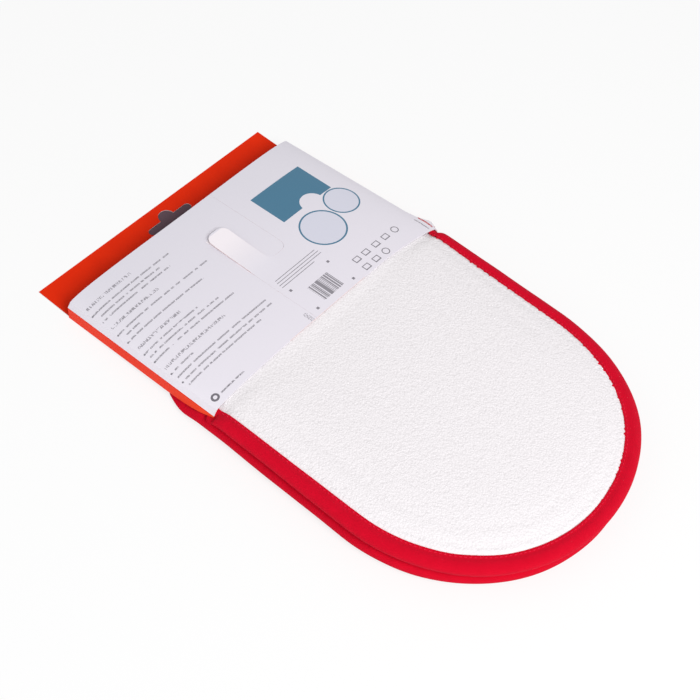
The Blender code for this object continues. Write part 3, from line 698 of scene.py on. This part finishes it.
def cut_cloth(setback, pitch, start_x):
    """A flat piece of cloth in the glove's outline, set in from the rim."""
    reach = RIM_RADIUS - setback
    length = ROUND_X + reach - start_x
    bpy.ops.mesh.primitive_grid_add(
        x_subdivisions=round(length / pitch),
        y_subdivisions=round(2 * reach / pitch),
        size=1,
        location=(start_x + length / 2, 0, 0),
    )
    cloth = bpy.context.object
    cloth.scale = (length, 2 * reach, 1)
    bpy.ops.object.transform_apply()
    bpy.ops.object.mode_set(mode="EDIT")
    choose(cloth, "VERT", lambda at: from_rim(at.x, at.y) < setback + pitch * 0.1 and at.x > ROUND_X)
    bpy.ops.mesh.delete(type="VERT")
    bpy.ops.object.mode_set(mode="OBJECT")
    mesh = bmesh.new()
    mesh.from_mesh(cloth.data)
    for vert in mesh.verts:
        if vert.is_boundary and vert.co.x > ROUND_X:
            spoke = Vector((vert.co.x - ROUND_X, vert.co.y, 0))
            vert.co = Vector((ROUND_X, 0, 0)) + spoke * (reach / spoke.length)
    mesh.to_mesh(cloth.data)
    mesh.free()
    return cloth


def crown(x, y, drop):
    """Height lost towards the rim, where the layers are drawn together."""
    return drop * (1 - bounded((from_rim(x, y) - BINDING_WIDTH) / CROWN_RUN)) ** 2


def run_at(x):
    """How far along the sleeve a place lies."""
    return (x - crease_place.x) / sleeve_along.x


def plain_y(x, y):
    """How far a place would lie from the middle if the card's right side didn't spread."""
    near = bounded(run_at(x) / TUBE_LENGTH)
    return y / (1 + MOUTH_SPREAD / HALF_SLEEVE * near) if y > 0 else y


def mouth_x(y):
    """Where the card's mouth lies over the glove: straight, but reaching on at the right."""
    return split_x + (flared(TUBE_LENGTH, plain_y(split_x, y))[0] - TUBE_LENGTH) * sleeve_along.x


def card_underside(x, y):
    """Height of the card over a place, or of the side wall's lower edge beside the card."""
    run = min(run_at(x), TUBE_LENGTH)
    y = plain_y(x, y)
    rise = WALL_HEIGHT + arch_rise(run, y) if abs(y) < HALF_SLEEVE else wall_foot(run)
    return crease_place.z + rise * sleeve_up.z + run * sleeve_along.z


def card_hold(x, y):
    """How firmly the card holds soft cloth down: 1 inside it, fading past its mouth."""
    spring = SPRING_RUN * (1 - RIGHT_SPRING * max(y, 0.0) / RIM_RADIUS)
    past = max(0.0, x - mouth_x(y)) / spring
    return 1 / (1 + past * past) ** 2


def mouth_limit(x, y):
    """How high soft cloth can stand at the card's mouth, and beside the card's wall."""
    edge = mouth_x(y)
    beside = card_underside(min(x, edge), y) - CARD_GAP
    if abs(plain_y(x, y)) < INSIDE_CARD or x < edge - CORNER_EASE:
        return beside
    corner = card_underside(edge, -INSIDE_CARD) - CARD_GAP
    return beside + (corner - beside) * bounded((x - edge) / CORNER_EASE)


def pressed(x, y, z, fill):
    """Height of a soft place under the card, which it may also fill out up to the card."""
    gap = mouth_limit(x, y) - z
    return z + card_hold(x, y) * (gap * fill if gap > 0 else gap)


def squashed(x, y, z, low, high):
    """Height in a roll from low to high that the card's mouth squashes towards its low side."""
    room = (mouth_limit(x, y) - low) / (high - low)
    press = card_hold(x, y) * (1 - bounded(room, LEAST_SHARE))
    return low + (z - low) * (1 - press)


def lip_reach(x, y):
    """How much further in the binding's lip reaches, at the right side and the round end."""
    to_tip = bounded((x - LIP_WIDENS_X) / (ROUND_X - LIP_WIDENS_X))
    to_right = bounded(y / RIM_RADIUS) * bounded((x - split_x) / LIP_WIDEN_RUN)
    return TIP_LIP * to_tip + RIGHT_LIP * to_right


def fuller(x, y, glove):
    """Where a place on the round end goes: the real end is a little squarer than a half circle."""
    if x <= ROUND_X:
        return x, y
    turn = atan2(y, x - ROUND_X)
    corner = FULLER_RIGHT if y > 0 else FULLER_LEFT
    out = TIP_OUT * cos(turn) ** 2 + corner * sin(2 * turn) ** 2
    out *= (hypot(x - ROUND_X, y) / RIM_RADIUS) ** 2 * (LOWER_OUT if glove == "lower" else 1)
    return x + out * cos(turn), y + out * sin(turn)


def bend_or_ride(piece, glove):
    """The upper glove's pieces are baked where they stand; the lower ones ride with the glove's body."""
    if glove == "upper":
        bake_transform(piece)
    else:
        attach(piece, "glove")


def puff(cloth, way):
    """Let a cloth swell as the wadding under it pushes it out, up to a cap, its rim sewn down."""
    places = [vert.co.copy() for vert in cloth.data.vertices]
    sewn = cloth.vertex_groups.new(name="sewn")
    for index, at in enumerate(places):
        if from_rim(at.x, at.y) < SEWN_WIDTH or at.x < split_x + MOUTH_SEWN:
            sewn.add([index], 1.0, "REPLACE")
    swelling = cloth.modifiers.new("swelling", "CLOTH")
    swelling.settings.use_pressure = True
    swelling.settings.uniform_pressure_force = PUFF_PRESSURE * way
    swelling.settings.vertex_group_mass = "sewn"
    swelling.settings.effector_weights.gravity = 0
    for step in range(1, PUFF_FRAMES + 1):
        scene.frame_set(step)
    apply_all(cloth)
    scene.frame_set(1)
    for vert, at in zip(cloth.data.vertices, places):
        rise = (vert.co.z - at.z) * way
        vert.co = at
        vert.co.z += way * PUFF_CAP * (1 - exp(-max(rise, 0.0) / PUFF_CAP))
    cloth.vertex_groups.clear()


def tuck_under_card(cloth, fill):
    """Draw a cloth in where it goes under the card, and press it and its sewn rim down."""
    for vert in cloth.data.vertices:
        x, y, z = vert.co
        hold = card_hold(x, y)
        vert.co.y -= y * SIDE_DRAW * hold * (y / (RIM_RADIUS - LAYER_SETBACK)) ** SIDE_DRAW_CURVE
        inner = bounded((from_rim(x, y) - SEWN_WIDTH) / RIM_BLEND)
        at_rim = squashed(x, vert.co.y, z, rim_low.z, rim_high.z) - LIP_TUCK * hold
        vert.co.z = at_rim + (pressed(x, vert.co.y, z, fill) - at_rim) * inner


def grain(x, y, seed, scale=1.0):
    """A smooth uneven height over a surface, about -1 to 1."""
    return noise.noise(Vector((x, y, seed)) * scale)


def raise_loops(cloth, way, cuts):
    """Cut the terry's outer face finer and stand its loops up, with a fringe over the lip."""
    bpy.ops.object.mode_set(mode="EDIT")
    bpy.ops.mesh.select_mode(type="FACE")
    bpy.ops.mesh.select_all(action="DESELECT")
    mesh = bmesh.from_edit_mesh(cloth.data)
    for face in mesh.faces:
        face.select_set(face.normal.z * way > OUTER_FACE)
    bmesh.update_edit_mesh(cloth.data)
    bpy.ops.mesh.subdivide(number_cuts=cuts)
    bpy.ops.object.mode_set(mode="OBJECT")
    facing = [vert.normal.z * way for vert in cloth.data.vertices]
    for vert, up in zip(cloth.data.vertices, facing):
        if up < OUTER_FACE:
            continue
        x, y, _ = vert.co
        inwards = from_rim(x, y)
        edge = BINDING_WIDTH + lip_reach(x, y)
        tall = grain(x, y, 0, LOOP_GRAIN)
        clump = grain(x, y, 0.3, CLUMP_GRAIN)
        row = sin((x + ROW_SLANT * y) * 2 * pi / LOOP_ROW)
        lift = LOOP_HEIGHT * (tall + CLUMP_SHARE * clump + ROW_SHARE * row)
        lift *= bounded((inwards - edge) / LIP_LOOP_WIDTH)
        fringe = max(0.0, 1 - abs(inwards - edge - LIP_LOOP_WIDTH) / LIP_LOOP_WIDTH)
        fringe *= 1 - card_hold(x, y)
        lift += fringe * LIP_LOOP_RISE * (0.9 + 1.1 * tall)
        lift -= LIP_TUCK * bounded((edge - inwards) / LIP_TUCK / 2)
        outwards = Vector((max(x - ROUND_X, 0), y, 0)).normalized()
        vert.co += outwards * fringe * LIP_LOOP_REACH * max(0.0, grain(x, y, 0.6, LIP_LOOP_GRAIN))
        vert.co.z += way * lift


TERRY_WHITE = (0.89, 0.855, 0.875, 1)
TERRY_SHADE = (0.77, 0.735, 0.75, 1)
TERRY_LOOPS = 1000.0
TERRY_FUZZ = 2600.0
TERRY_DEPTH = 0.0003
SLUB_SCALE = 300.0
WEAVE_DEPTH = 0.0001
terry_finish, start = new_finish("white_terry")
place = start.place()
loops = start.node("ShaderNodeTexVoronoi", {"feature": "F1"}, {"Vector": place, "Scale": TERRY_LOOPS})
pile = (1 - loops) + place.cloud(TERRY_FUZZ) * 0.6
start.cover({
    "Base Color": pile.tint(TERRY_SHADE, TERRY_WHITE),
    "Roughness": 0.95,
    "Specular IOR Level": 0.1,
    "Sheen Weight": 0.15,
    "Normal": pile.raised(0.7, TERRY_DEPTH),
})


def woven_finish(name, low, high, pitch):
    """A plain woven cotton, its threads over and under each other."""
    made, start = new_finish(name)
    place = start.place()
    x, y, _ = place.axes()
    weave = (x * (2 * pi / pitch)).wave() * (y * (2 * pi / pitch)).wave() * 0.5 + 0.5
    start.cover({
        "Base Color": (weave * 0.5 + place.cloud(SLUB_SCALE, 3.0) * 0.5).tint(low, high),
        "Roughness": 0.9,
        "Specular IOR Level": 0.15,
        "Normal": weave.raised(0.6, WEAVE_DEPTH),
    })
    return made


def fibre_finish(name, low, high, scale, depth, roughness):
    """A surface of tangled fibres or of crinkled film."""
    made, start = new_finish(name)
    tangle = start.place().cloud(scale, 6.0)
    start.cover({
        "Base Color": tangle.tint(low, high),
        "Roughness": roughness,
        "Normal": tangle.raised(0.8, depth),
    })
    return made


lining_finish = woven_finish("white_cotton", (0.7, 0.68, 0.66, 1), (0.84, 0.82, 0.8, 1), 0.0007)
wadding_finish = fibre_finish("wadding", (0.66, 0.65, 0.61, 1), (0.8, 0.79, 0.76, 1), 420.0, 0.0006, 1.0)
film_finish = fibre_finish("barrier_film", (0.47, 0.49, 0.53, 1), (0.62, 0.64, 0.67, 1), 90.0, 0.0004, 0.35)

LAYERS = {
    "palm_terry": (terry_finish, "white_terry"),
    "palm_wadding": (wadding_finish, "wadding"),
    "palm_lining": (lining_finish, "white_cotton"),
    "pocket_lining": (lining_finish, "white_cotton"),
    "inner_wadding": (wadding_finish, "wadding"),
    "steam_barrier": (film_finish, "barrier_film"),
    "outer_wadding": (wadding_finish, "wadding"),
    "pocket_terry": (terry_finish, "white_terry"),
}
for glove, side in (("lower", -1), ("upper", 1)):
    for layer, (finish, slot) in LAYERS.items():
        node = f"{glove}_{layer}"
        low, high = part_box(node)
        palm = layer.startswith("palm")
        shift = PALM_SHIFT if palm else PATCH_SHIFT
        thickness = high.z - low.z - shift
        outside = high.z if side > 0 else low.z
        back_x = split_x - TERRY_TUCK if node == "upper_pocket_terry" else split_x
        cloth = cut_cloth(LAYER_SETBACK, TERRY_PITCH if "terry" in layer else HIDDEN_PITCH, back_x)
        for vert in cloth.data.vertices:
            drop = crown(vert.co.x, vert.co.y, shift)
            vert.co.z = outside - side * (shift - drop if palm else drop)
        if node == "upper_pocket_terry":
            puff(cloth, side)
        if glove == "upper":
            tuck_under_card(cloth, layer == "pocket_terry")
        thicken(cloth, thickness, -side)
        if "terry" in layer:
            way = -side if palm else side
            raise_loops(cloth, way, TERRY_CUTS if node == "upper_pocket_terry" else HIDDEN_TERRY_CUTS)
        for vert in cloth.data.vertices:
            vert.co.x, vert.co.y = fuller(vert.co.x, vert.co.y, glove)
        finish_piece(cloth, f"{node}_cloth", finish, 60)
        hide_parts(node)
        bend_or_ride(cloth, glove)
        if layer == "pocket_terry":
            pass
        elif "wadding" in layer:
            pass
        else:
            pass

# Edge binding: red cotton tape cut on the bias, folded over the rim of each glove and sewn
# through near its inner edge, its lip nibbed by the terry's loops on the right side.
# Both ends run on a little way under the card, pressed flat.

BINDING_HALF_HEIGHT = (rim_high.z - rim_low.z) / 2
BINDING_ROUND_WIDTH = 0.005
BINDING_TAPE = 0.0008
ROLL_STEPS = 14
LIP_DROP = 0.00022
LIP_CURL = 0.0004
STITCH_FROM_RIM = 0.0061
STITCH_PITCH = 0.0026
PUCKER_DEPTH = 0.00022
PUCKER_WIDTH = 0.0011
PUCKER_SAMPLES = 4
WOBBLE = 0.0003
SLACK_GRAIN = 60
SLACK_ACROSS_GRAIN = 90
DRIFT_GRAIN = 35
UPPER_START = 0.006
FLAT_RUN = 0.022
FLAT_SHARE = 0.5
NARROW_RUN = 0.016
UPPER_NARROW_RUN = 0.004
NARROW_SHARE = 0.417
LIP_NIB = 0.0026
LEFT_NIB_SHARE = 0.15
NIB_GRAIN = 620
NIB_LIFT = 0.4
THREAD_PITCH = 0.00036
THREAD_DEPTH = 0.00012
FADE_SCALE = 160.0
BINDING_RED = (0.75, 0.004, 0.026, 1)
BINDING_DEEP = (0.58, 0.002, 0.016, 1)
BINDING_SHEEN = (1, 0.3, 0.45, 1)

binding_finish, start = new_finish("red_binding")
along, across, _ = start.node("ShaderNodeAttribute", {"attribute_name": "cloth"}, {}, "Vector").axes()
warp = ((along + across) * (2 * pi / THREAD_PITCH)).wave()
weft = ((along - across) * (2 * pi / THREAD_PITCH)).wave()
weave = warp * weft * 0.5 + 0.5
fade = start.place().cloud(FADE_SCALE, 4.0)
start.cover({
    "Base Color": (weave * 0.35 + fade * 0.65).tint(BINDING_DEEP, BINDING_RED),
    "Roughness": 0.85,
    "Specular IOR Level": 0.03,
    "Sheen Weight": 0.1,
    "Sheen Tint": BINDING_SHEEN,
    "Normal": weave.raised(0.7, THREAD_DEPTH),
})


def roll_section():
    """The rolled tape's outline, from its upper lip round the rim to its lower lip."""
    lip = [(BINDING_WIDTH, -LIP_DROP), (BINDING_WIDTH - LIP_CURL, 0.0)]
    lip += [(STITCH_FROM_RIM, -2 * LIP_DROP), (BINDING_ROUND_WIDTH + LIP_CURL, -LIP_DROP)]
    upper = [(inwards, BINDING_HALF_HEIGHT + lift) for inwards, lift in lip]
    roll = []
    for step in range(ROLL_STEPS + 1):
        turn = pi * step / ROLL_STEPS
        roll.append((BINDING_ROUND_WIDTH * (1 - sin(turn)), BINDING_HALF_HEIGHT * cos(turn)))
    lower = [(inwards, -height) for inwards, height in reversed(upper)]
    return upper + roll + lower


def path_length(x, y, start_x):
    """How far along the rim a place lies, from the binding's first end round the tip."""
    straight = ROUND_X - start_x
    if x < ROUND_X:
        return x - start_x if y < 0 else straight + pi * RIM_RADIUS + ROUND_X - x
    return straight + RIM_RADIUS * (atan2(y, x - ROUND_X) + pi / 2)


def sweep_tape(start_x, pitch):
    """The tape's outer face, swept along one side, round the tip and back."""
    section = roll_section()
    last = len(section) - 1
    bpy.ops.mesh.primitive_grid_add(x_subdivisions=1, y_subdivisions=last, size=1)
    tape = bpy.context.object
    for vert in tape.data.vertices:
        inwards, height = section[round((vert.co.y + 0.5) * last)]
        vert.co = (start_x if vert.co.x < 0 else ROUND_X, inwards - RIM_RADIUS, height)
    bpy.ops.object.mode_set(mode="EDIT")
    choose(tape, "EDGE", lambda at: at.x > ROUND_X - pitch)
    steps = round(pi * RIM_RADIUS / pitch)
    bpy.ops.mesh.spin(steps=steps, angle=pi, center=(ROUND_X, 0, 0), axis=(0, 0, -1))
    choose(tape, "EDGE", lambda at: abs(at.x - ROUND_X) < pitch / 4 and at.y > 0)
    bpy.ops.mesh.extrude_region_move(TRANSFORM_OT_translate={"value": (start_x - ROUND_X, 0, 0)})
    parts = round(((ROUND_X - start_x) / pitch) ** 0.5)
    for length in (ROUND_X - start_x, (ROUND_X - start_x) / parts):
        bpy.ops.mesh.select_mode(type="EDGE")
        bpy.ops.mesh.select_all(action="DESELECT")
        mesh = bmesh.from_edit_mesh(tape.data)
        for edge in mesh.edges:
            edge.select_set(abs(edge.verts[0].co.x - edge.verts[1].co.x) > length * 0.9)
        bmesh.update_edit_mesh(tape.data)
        bpy.ops.mesh.subdivide(number_cuts=parts - 1)
    bpy.ops.mesh.select_all(action="SELECT")
    bpy.ops.mesh.remove_doubles(threshold=0.00002)
    bpy.ops.mesh.normals_make_consistent(inside=False)
    bpy.ops.object.mode_set(mode="OBJECT")
    return tape


def turn_outwards(piece):
    """Flip an open shell whose faces look in at the roll's middle."""
    looks_out = sum(face.normal.z * face.center.z * face.area for face in piece.data.polygons)
    if looks_out < 0:
        piece.data.flip_normals()


def shape_tape(tape, start_x, level, tucked):
    """Pucker the tape along its stitches, let its roll wander, and press its ends flat."""
    marks = tape.data.attributes.new("cloth", "FLOAT_VECTOR", "POINT")
    narrow_run = NARROW_RUN if tucked else UPPER_NARROW_RUN
    low, high = level - BINDING_HALF_HEIGHT, level + BINDING_HALF_HEIGHT
    for index, vert in enumerate(tape.data.vertices):
        x, y, z = vert.co
        face = 1 if z > 0 else -1
        inwards = from_rim(x, y)
        run = path_length(x, y, start_x)
        marks.data[index].vector = (run, inwards * face, 0)
        near = max(0.0, 1 - abs(inwards - STITCH_FROM_RIM) / PUCKER_WIDTH)
        pull = 0.5 + 0.5 * cos(2 * pi * run / STITCH_PITCH)
        slack = grain(run * SLACK_GRAIN, inwards * SLACK_ACROSS_GRAIN, 7 if z > 0 else 9)
        lift = slack * WOBBLE * min(1.0, abs(z) / BINDING_HALF_HEIGHT) - near * pull * PUCKER_DEPTH
        vert.co.z += lift * face
        drift = grain(run * DRIFT_GRAIN, 3, 5 if tucked else 1) * WOBBLE
        outwards = Vector((max(x - ROUND_X, 0), y, 0)).normalized()
        vert.co += outwards * drift * max(0.0, 1 - inwards / BINDING_WIDTH)
        part = (x - start_x) / narrow_run
        if part < 1:
            edge = RIM_RADIUS - BINDING_WIDTH
            width = NARROW_SHARE + (1 - NARROW_SHARE) * sin(pi / 2 * part)
            vert.co.y = (1 if y > 0 else -1) * (edge + (abs(vert.co.y) - edge) * width)
        vert.co.z += level
        if tucked and x - start_x < FLAT_RUN:
            vert.co.z *= FLAT_SHARE + (1 - FLAT_SHARE) * (x - start_x) / FLAT_RUN
        vert.co.z = squashed(x, vert.co.y, vert.co.z, low, high)
        by_row = bounded((inwards - BINDING_ROUND_WIDTH) / (STITCH_FROM_RIM - BINDING_ROUND_WIDTH))
        by_lip = max(0.0, (inwards - STITCH_FROM_RIM) / (BINDING_WIDTH - STITCH_FROM_RIM))
        nib = LIP_NIB * bounded(LEFT_NIB_SHARE + y / RIM_RADIUS) * max(0.0, grain(run * NIB_GRAIN, 0, 2))
        vert.co -= outwards * (by_row * lip_reach(x, y) + by_lip * nib)
        vert.co.z += by_lip * nib * NIB_LIFT * face
        vert.co.x, vert.co.y = fuller(vert.co.x, vert.co.y, "lower" if tucked else "upper")


for glove, low, high in (("lower", lower_rim_low, lower_rim_high), ("upper", rim_low, rim_high)):
    start_x = low.x if glove == "lower" else split_x - UPPER_START
    tape = sweep_tape(start_x, STITCH_PITCH / PUCKER_SAMPLES)
    turn_outwards(tape)
    shape_tape(tape, start_x, high.z - BINDING_HALF_HEIGHT, glove == "lower")
    thicken(tape, BINDING_TAPE, -1)
    finish_piece(tape, f"{glove}_edge_tape", binding_finish, 60)
    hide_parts(f"{glove}_edge_binding")
    bend_or_ride(tape, glove)
    section = roll_section()
    tape_width = sum(hypot(b[0] - a[0], b[1] - a[1]) for a, b in zip(section, section[1:]))

# Edge stitching: red sewing thread, one row through each binding near its inner edge,
# its stitches half sunk in the tape.

STITCH_RADIUS = 0.00026
STITCH_LENGTH = 0.0017
STITCH_SINK = 0.1
TWIST_DEPTH = 0.00008
THREAD_RED = (0.84, 0.03, 0.075, 1)
THREAD_DEEP = (0.6, 0.008, 0.03, 1)

thread_finish, start = new_finish("red_thread")
x, y, z = start.place().axes()
twist = ((x + y) * 6000 + z * 9000).wave() * 0.5 + 0.5
start.cover({
    "Base Color": twist.tint(THREAD_DEEP, THREAD_RED),
    "Roughness": 0.9,
    "Specular IOR Level": 0.04,
    "Normal": twist.raised(0.6, TWIST_DEPTH),
})


def rim_place(run, inwards, start_x):
    """A place along the rim, and the direction of the rim there."""
    straight = ROUND_X - start_x
    radius = RIM_RADIUS - inwards
    if run < straight:
        return (start_x + run, -radius), 0.0
    turn = (run - straight) / RIM_RADIUS
    if turn < pi:
        return (ROUND_X + radius * sin(turn), -radius * cos(turn)), turn
    return (ROUND_X - (run - straight - pi * RIM_RADIUS), radius), pi


for glove, side in (("lower", -1), ("upper", 1)):
    rim_height = rim_high.z if side > 0 else 2 * PACK_MIDDLE_Z - rim_high.z
    total = 2 * (ROUND_X - split_x) + pi * RIM_RADIUS
    stretch = Matrix.Diagonal((STITCH_LENGTH / STITCH_RADIUS / 2, 1, 1, 1))
    stitches = []
    bpy.ops.mesh.primitive_uv_sphere_add(segments=8, ring_count=6, radius=STITCH_RADIUS)
    first = bpy.context.object
    for count in range(1, int(total / STITCH_PITCH)):
        run = count * STITCH_PITCH
        widening = lip_reach(*rim_place(run, STITCH_FROM_RIM, split_x)[0])
        (x, y), turn = rim_place(run, STITCH_FROM_RIM + widening, split_x)
        z = rim_height - side * (2 * LIP_DROP + PUCKER_DEPTH - STITCH_RADIUS * (1 - STITCH_SINK))
        if side > 0:
            z = squashed(x, y, z, rim_low.z, rim_high.z)
        x, y = fuller(x, y, glove)
        stitch = bpy.data.objects.new("stitch", first.data.copy())
        scene.collection.objects.link(stitch)
        stitch.data.transform(Matrix.Translation((x, y, z)) @ Matrix.Rotation(turn, 4, "Z") @ stretch)
        stitches.append(stitch)
    bpy.data.objects.remove(first)
    pick(*stitches)
    bpy.ops.object.join()
    row = bpy.context.object
    finish_piece(row, f"{glove}_edge_stitches", thread_finish, 60)
    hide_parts(f"{glove}_edge_stitching")
    bend_or_ride(row, glove)

# Pocket mouth hems: a strip of terry along each pocket's open edge, just inside the card.
# The upper one lies up against the arched card and lumps out a little at its mouth.

HEM_THICKNESS = 0.0016
HEM_LUMP = 0.0006
HEM_PITCH = 0.001
HEM_GRAIN = 900
HEM_CLUMP_GRAIN = 300

for glove in ("upper", "lower"):
    low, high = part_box(f"{glove}_mouth_hem")
    reach = high.x - low.x - (TERRY_TUCK if glove == "upper" else 0)
    steps = [round(reach / HEM_PITCH), round((high.y - low.y) / HEM_PITCH)]
    bpy.ops.mesh.primitive_grid_add(x_subdivisions=steps[0], y_subdivisions=steps[1], size=1)
    hem = bpy.context.object
    for vert in hem.data.vertices:
        x = low.x + reach * (vert.co.x + 0.5)
        y = (low.y + high.y) / 2 + (high.y - low.y) * vert.co.y
        lump = HEM_LUMP * (1 + 0.5 * grain(x, y, 0.7, HEM_GRAIN) + grain(x, y, 0.2, HEM_CLUMP_GRAIN))
        if glove == "upper":
            z = card_underside(x, y) - CARD_GAP - 0.4 * lump
        else:
            z = low.z + crown(x, y, PATCH_SHIFT) + 0.3 * lump
        vert.co = (x, y, z)
    thicken(hem, HEM_THICKNESS - HEM_LUMP, -1 if glove == "upper" else 1)
    finish_piece(hem, f"{glove}_mouth_strip", terry_finish, 60)
    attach(hem, "glove")
    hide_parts(f"{glove}_mouth_hem")

# Quilted band inside the card: red cotton outside and inside with wadding between, running
# from glove to glove. It is folded back on itself twice and pressed flat by the card.

HALF_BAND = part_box("band_cover")[1].y
BAND_LEVEL = 0.0019
FOLD_PITCH = 0.0041
FOLD_X = 0.00615
TUCK_X = 0.06285
FOLD_STEPS = 8
LOWER_RISE = (0.076, 0.091)
UPPER_DROP = (0.069, 0.093)
LOWER_PALM_Z = 0.00885
UPPER_PALM_Z = 0.012
BAND_TOP = 0.0153
BAND_PITCH = 0.0025
QUILT_PITCH = 0.0208
QUILT_DEPTH = 0.00014
PRESSED_GAP = 0.0008
COTTON_ASIDE = 0.0009
COTTON_THICKNESS = 0.0004
WADDING_THICKNESS = 0.0008


def height_in_card(level, run):
    """Height over the tilted front panel, some way along it, of a level over the table."""
    return (level - run * sleeve_along.z) / sleeve_up.z


def band_line():
    """Middle line of the folded band in the card, from the lower glove to the upper."""
    line = [(run, height_in_card(LOWER_PALM_Z, run)) for run in (TUBE_LENGTH, LOWER_RISE[1])]
    line.append((LOWER_RISE[0], BAND_LEVEL))
    for count, (x, way) in enumerate(((FOLD_X, -1), (TUCK_X, 1), (FOLD_X, -1))):
        middle = BAND_LEVEL + FOLD_PITCH * (count + 0.5)
        for step in range(FOLD_STEPS + 1):
            turn = pi * step / FOLD_STEPS
            line.append((x + way * FOLD_PITCH / 2 * sin(turn), middle - FOLD_PITCH / 2 * cos(turn)))
    top, low = BAND_LEVEL + 3 * FOLD_PITCH, height_in_card(UPPER_PALM_Z, UPPER_DROP[1])
    for step in range(FOLD_STEPS + 1):
        run = UPPER_DROP[0] + (UPPER_DROP[1] - UPPER_DROP[0]) * step / FOLD_STEPS
        line.append((run, top + (low - top) * (1 - cos(pi * step / FOLD_STEPS)) / 2))
    line.append((TUBE_LENGTH, height_in_card(UPPER_PALM_Z, TUBE_LENGTH)))
    return line


def even_points(line, pitch):
    """Points evenly spaced along a line, and the line's length."""
    lengths = [0.0]
    for a, b in zip(line, line[1:]):
        lengths.append(lengths[-1] + hypot(b[0] - a[0], b[1] - a[1]))
    count = round(lengths[-1] / pitch)
    points = []
    for step in range(count + 1):
        reach = lengths[-1] * step / count
        index = max(i for i in range(len(line) - 1) if lengths[i] <= reach + 1e-9)
        part = (reach - lengths[index]) / (lengths[index + 1] - lengths[index])
        a, b = Vector(line[index]), Vector(line[index + 1])
        points.append(a + (b - a) * part)
    return points, lengths[-1]


def lay_cloth(points, aside, low_y, high_y, pitch, lean):
    """A cloth swept across the card along a line, some way aside from it, pressed by the arch."""
    last = len(points) - 1
    rows = round((high_y - low_y) / pitch)
    bpy.ops.mesh.primitive_grid_add(x_subdivisions=last, y_subdivisions=rows, size=1)
    cloth = bpy.context.object
    for vert in cloth.data.vertices:
        index = round((vert.co.x + 0.5) * last)
        y = low_y + (high_y - low_y) * (vert.co.y + 0.5)
        ahead = points[min(index + 1, last)] - points[max(index - 1, 0)]
        sideways = Vector((-ahead.y, ahead.x)).normalized()
        quilt = QUILT_DEPTH * cos(2 * pi * y / QUILT_PITCH) * (1 if aside > 0 else -1)
        place = points[index] + sideways * (aside + quilt)
        height = place.y - lean * (place.x - points[0].x)
        room = WALL_HEIGHT + arch_rise(place.x, y) - PRESSED_GAP
        share = min(1.0, room / (BAND_TOP - CARD_THICKNESS))
        vert.co = (place.x, y, CARD_THICKNESS + (height - CARD_THICKNESS) * share)
    return cloth


cotton_finish = woven_finish("red_cotton", (0.42, 0.004, 0.012, 1), (0.58, 0.01, 0.022, 1), 0.0009)
line, band_length = even_points(band_line(), BAND_PITCH)
for name, aside, thickness, finish, slot in (
    ("band_cover", COTTON_ASIDE, COTTON_THICKNESS, cotton_finish, "red_cotton"),
    ("band_wadding", 0.0, WADDING_THICKNESS, wadding_finish, "wadding"),
    ("band_lining", -COTTON_ASIDE, COTTON_THICKNESS, cotton_finish, "red_cotton"),
):
    cloth = lay_cloth(line, aside, -HALF_BAND, HALF_BAND, BAND_PITCH, 0)
    thicken(cloth, thickness, 0)
    cloth.data.transform(SLEEVE_PLACE)
    finish_piece(cloth, f"{name}_cloth", finish, 60)
    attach(cloth, "glove")
    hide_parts(name)
    slot == "wadding"

# Hanging loop: a short doubled tape of the binding's red cotton, sewn at the band's middle.
# It lies flat between the folded layers.

loop_low, loop_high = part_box("hanging_loop")
LOOP_START = 0.0663
LOOP_END = 0.0846
LOOP_LEVEL = BAND_LEVEL + 1.5 * FOLD_PITCH
LOOP_TURN = 0.0007
LOOP_TURN_STEPS = 6
LOOP_LEAN = 0.12
LOOP_PITCH = 0.0005
LOOP_ROW_PITCH = 0.001
LOOP_TAPE = 0.0006

line = [(LOOP_START, LOOP_LEVEL - LOOP_TURN)]
for step in range(LOOP_TURN_STEPS + 1):
    turn = pi * step / LOOP_TURN_STEPS
    line.append((LOOP_END - LOOP_TURN + LOOP_TURN * sin(turn), LOOP_LEVEL - LOOP_TURN * cos(turn)))
line.append((LOOP_START, LOOP_LEVEL + LOOP_TURN))
points, _ = even_points(line, LOOP_PITCH)
tape = lay_cloth(points, 0, loop_low.y, loop_high.y, LOOP_ROW_PITCH, LOOP_LEAN)
marks = tape.data.attributes.new("cloth", "FLOAT_VECTOR", "POINT")
for index, vert in enumerate(tape.data.vertices):
    marks.data[index].vector = vert.co
thicken(tape, LOOP_TAPE, 0)
tape.data.transform(SLEEVE_PLACE)
finish_piece(tape, "hanging_loop_tape", binding_finish, 60)
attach(tape, "glove")
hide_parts("hanging_loop")
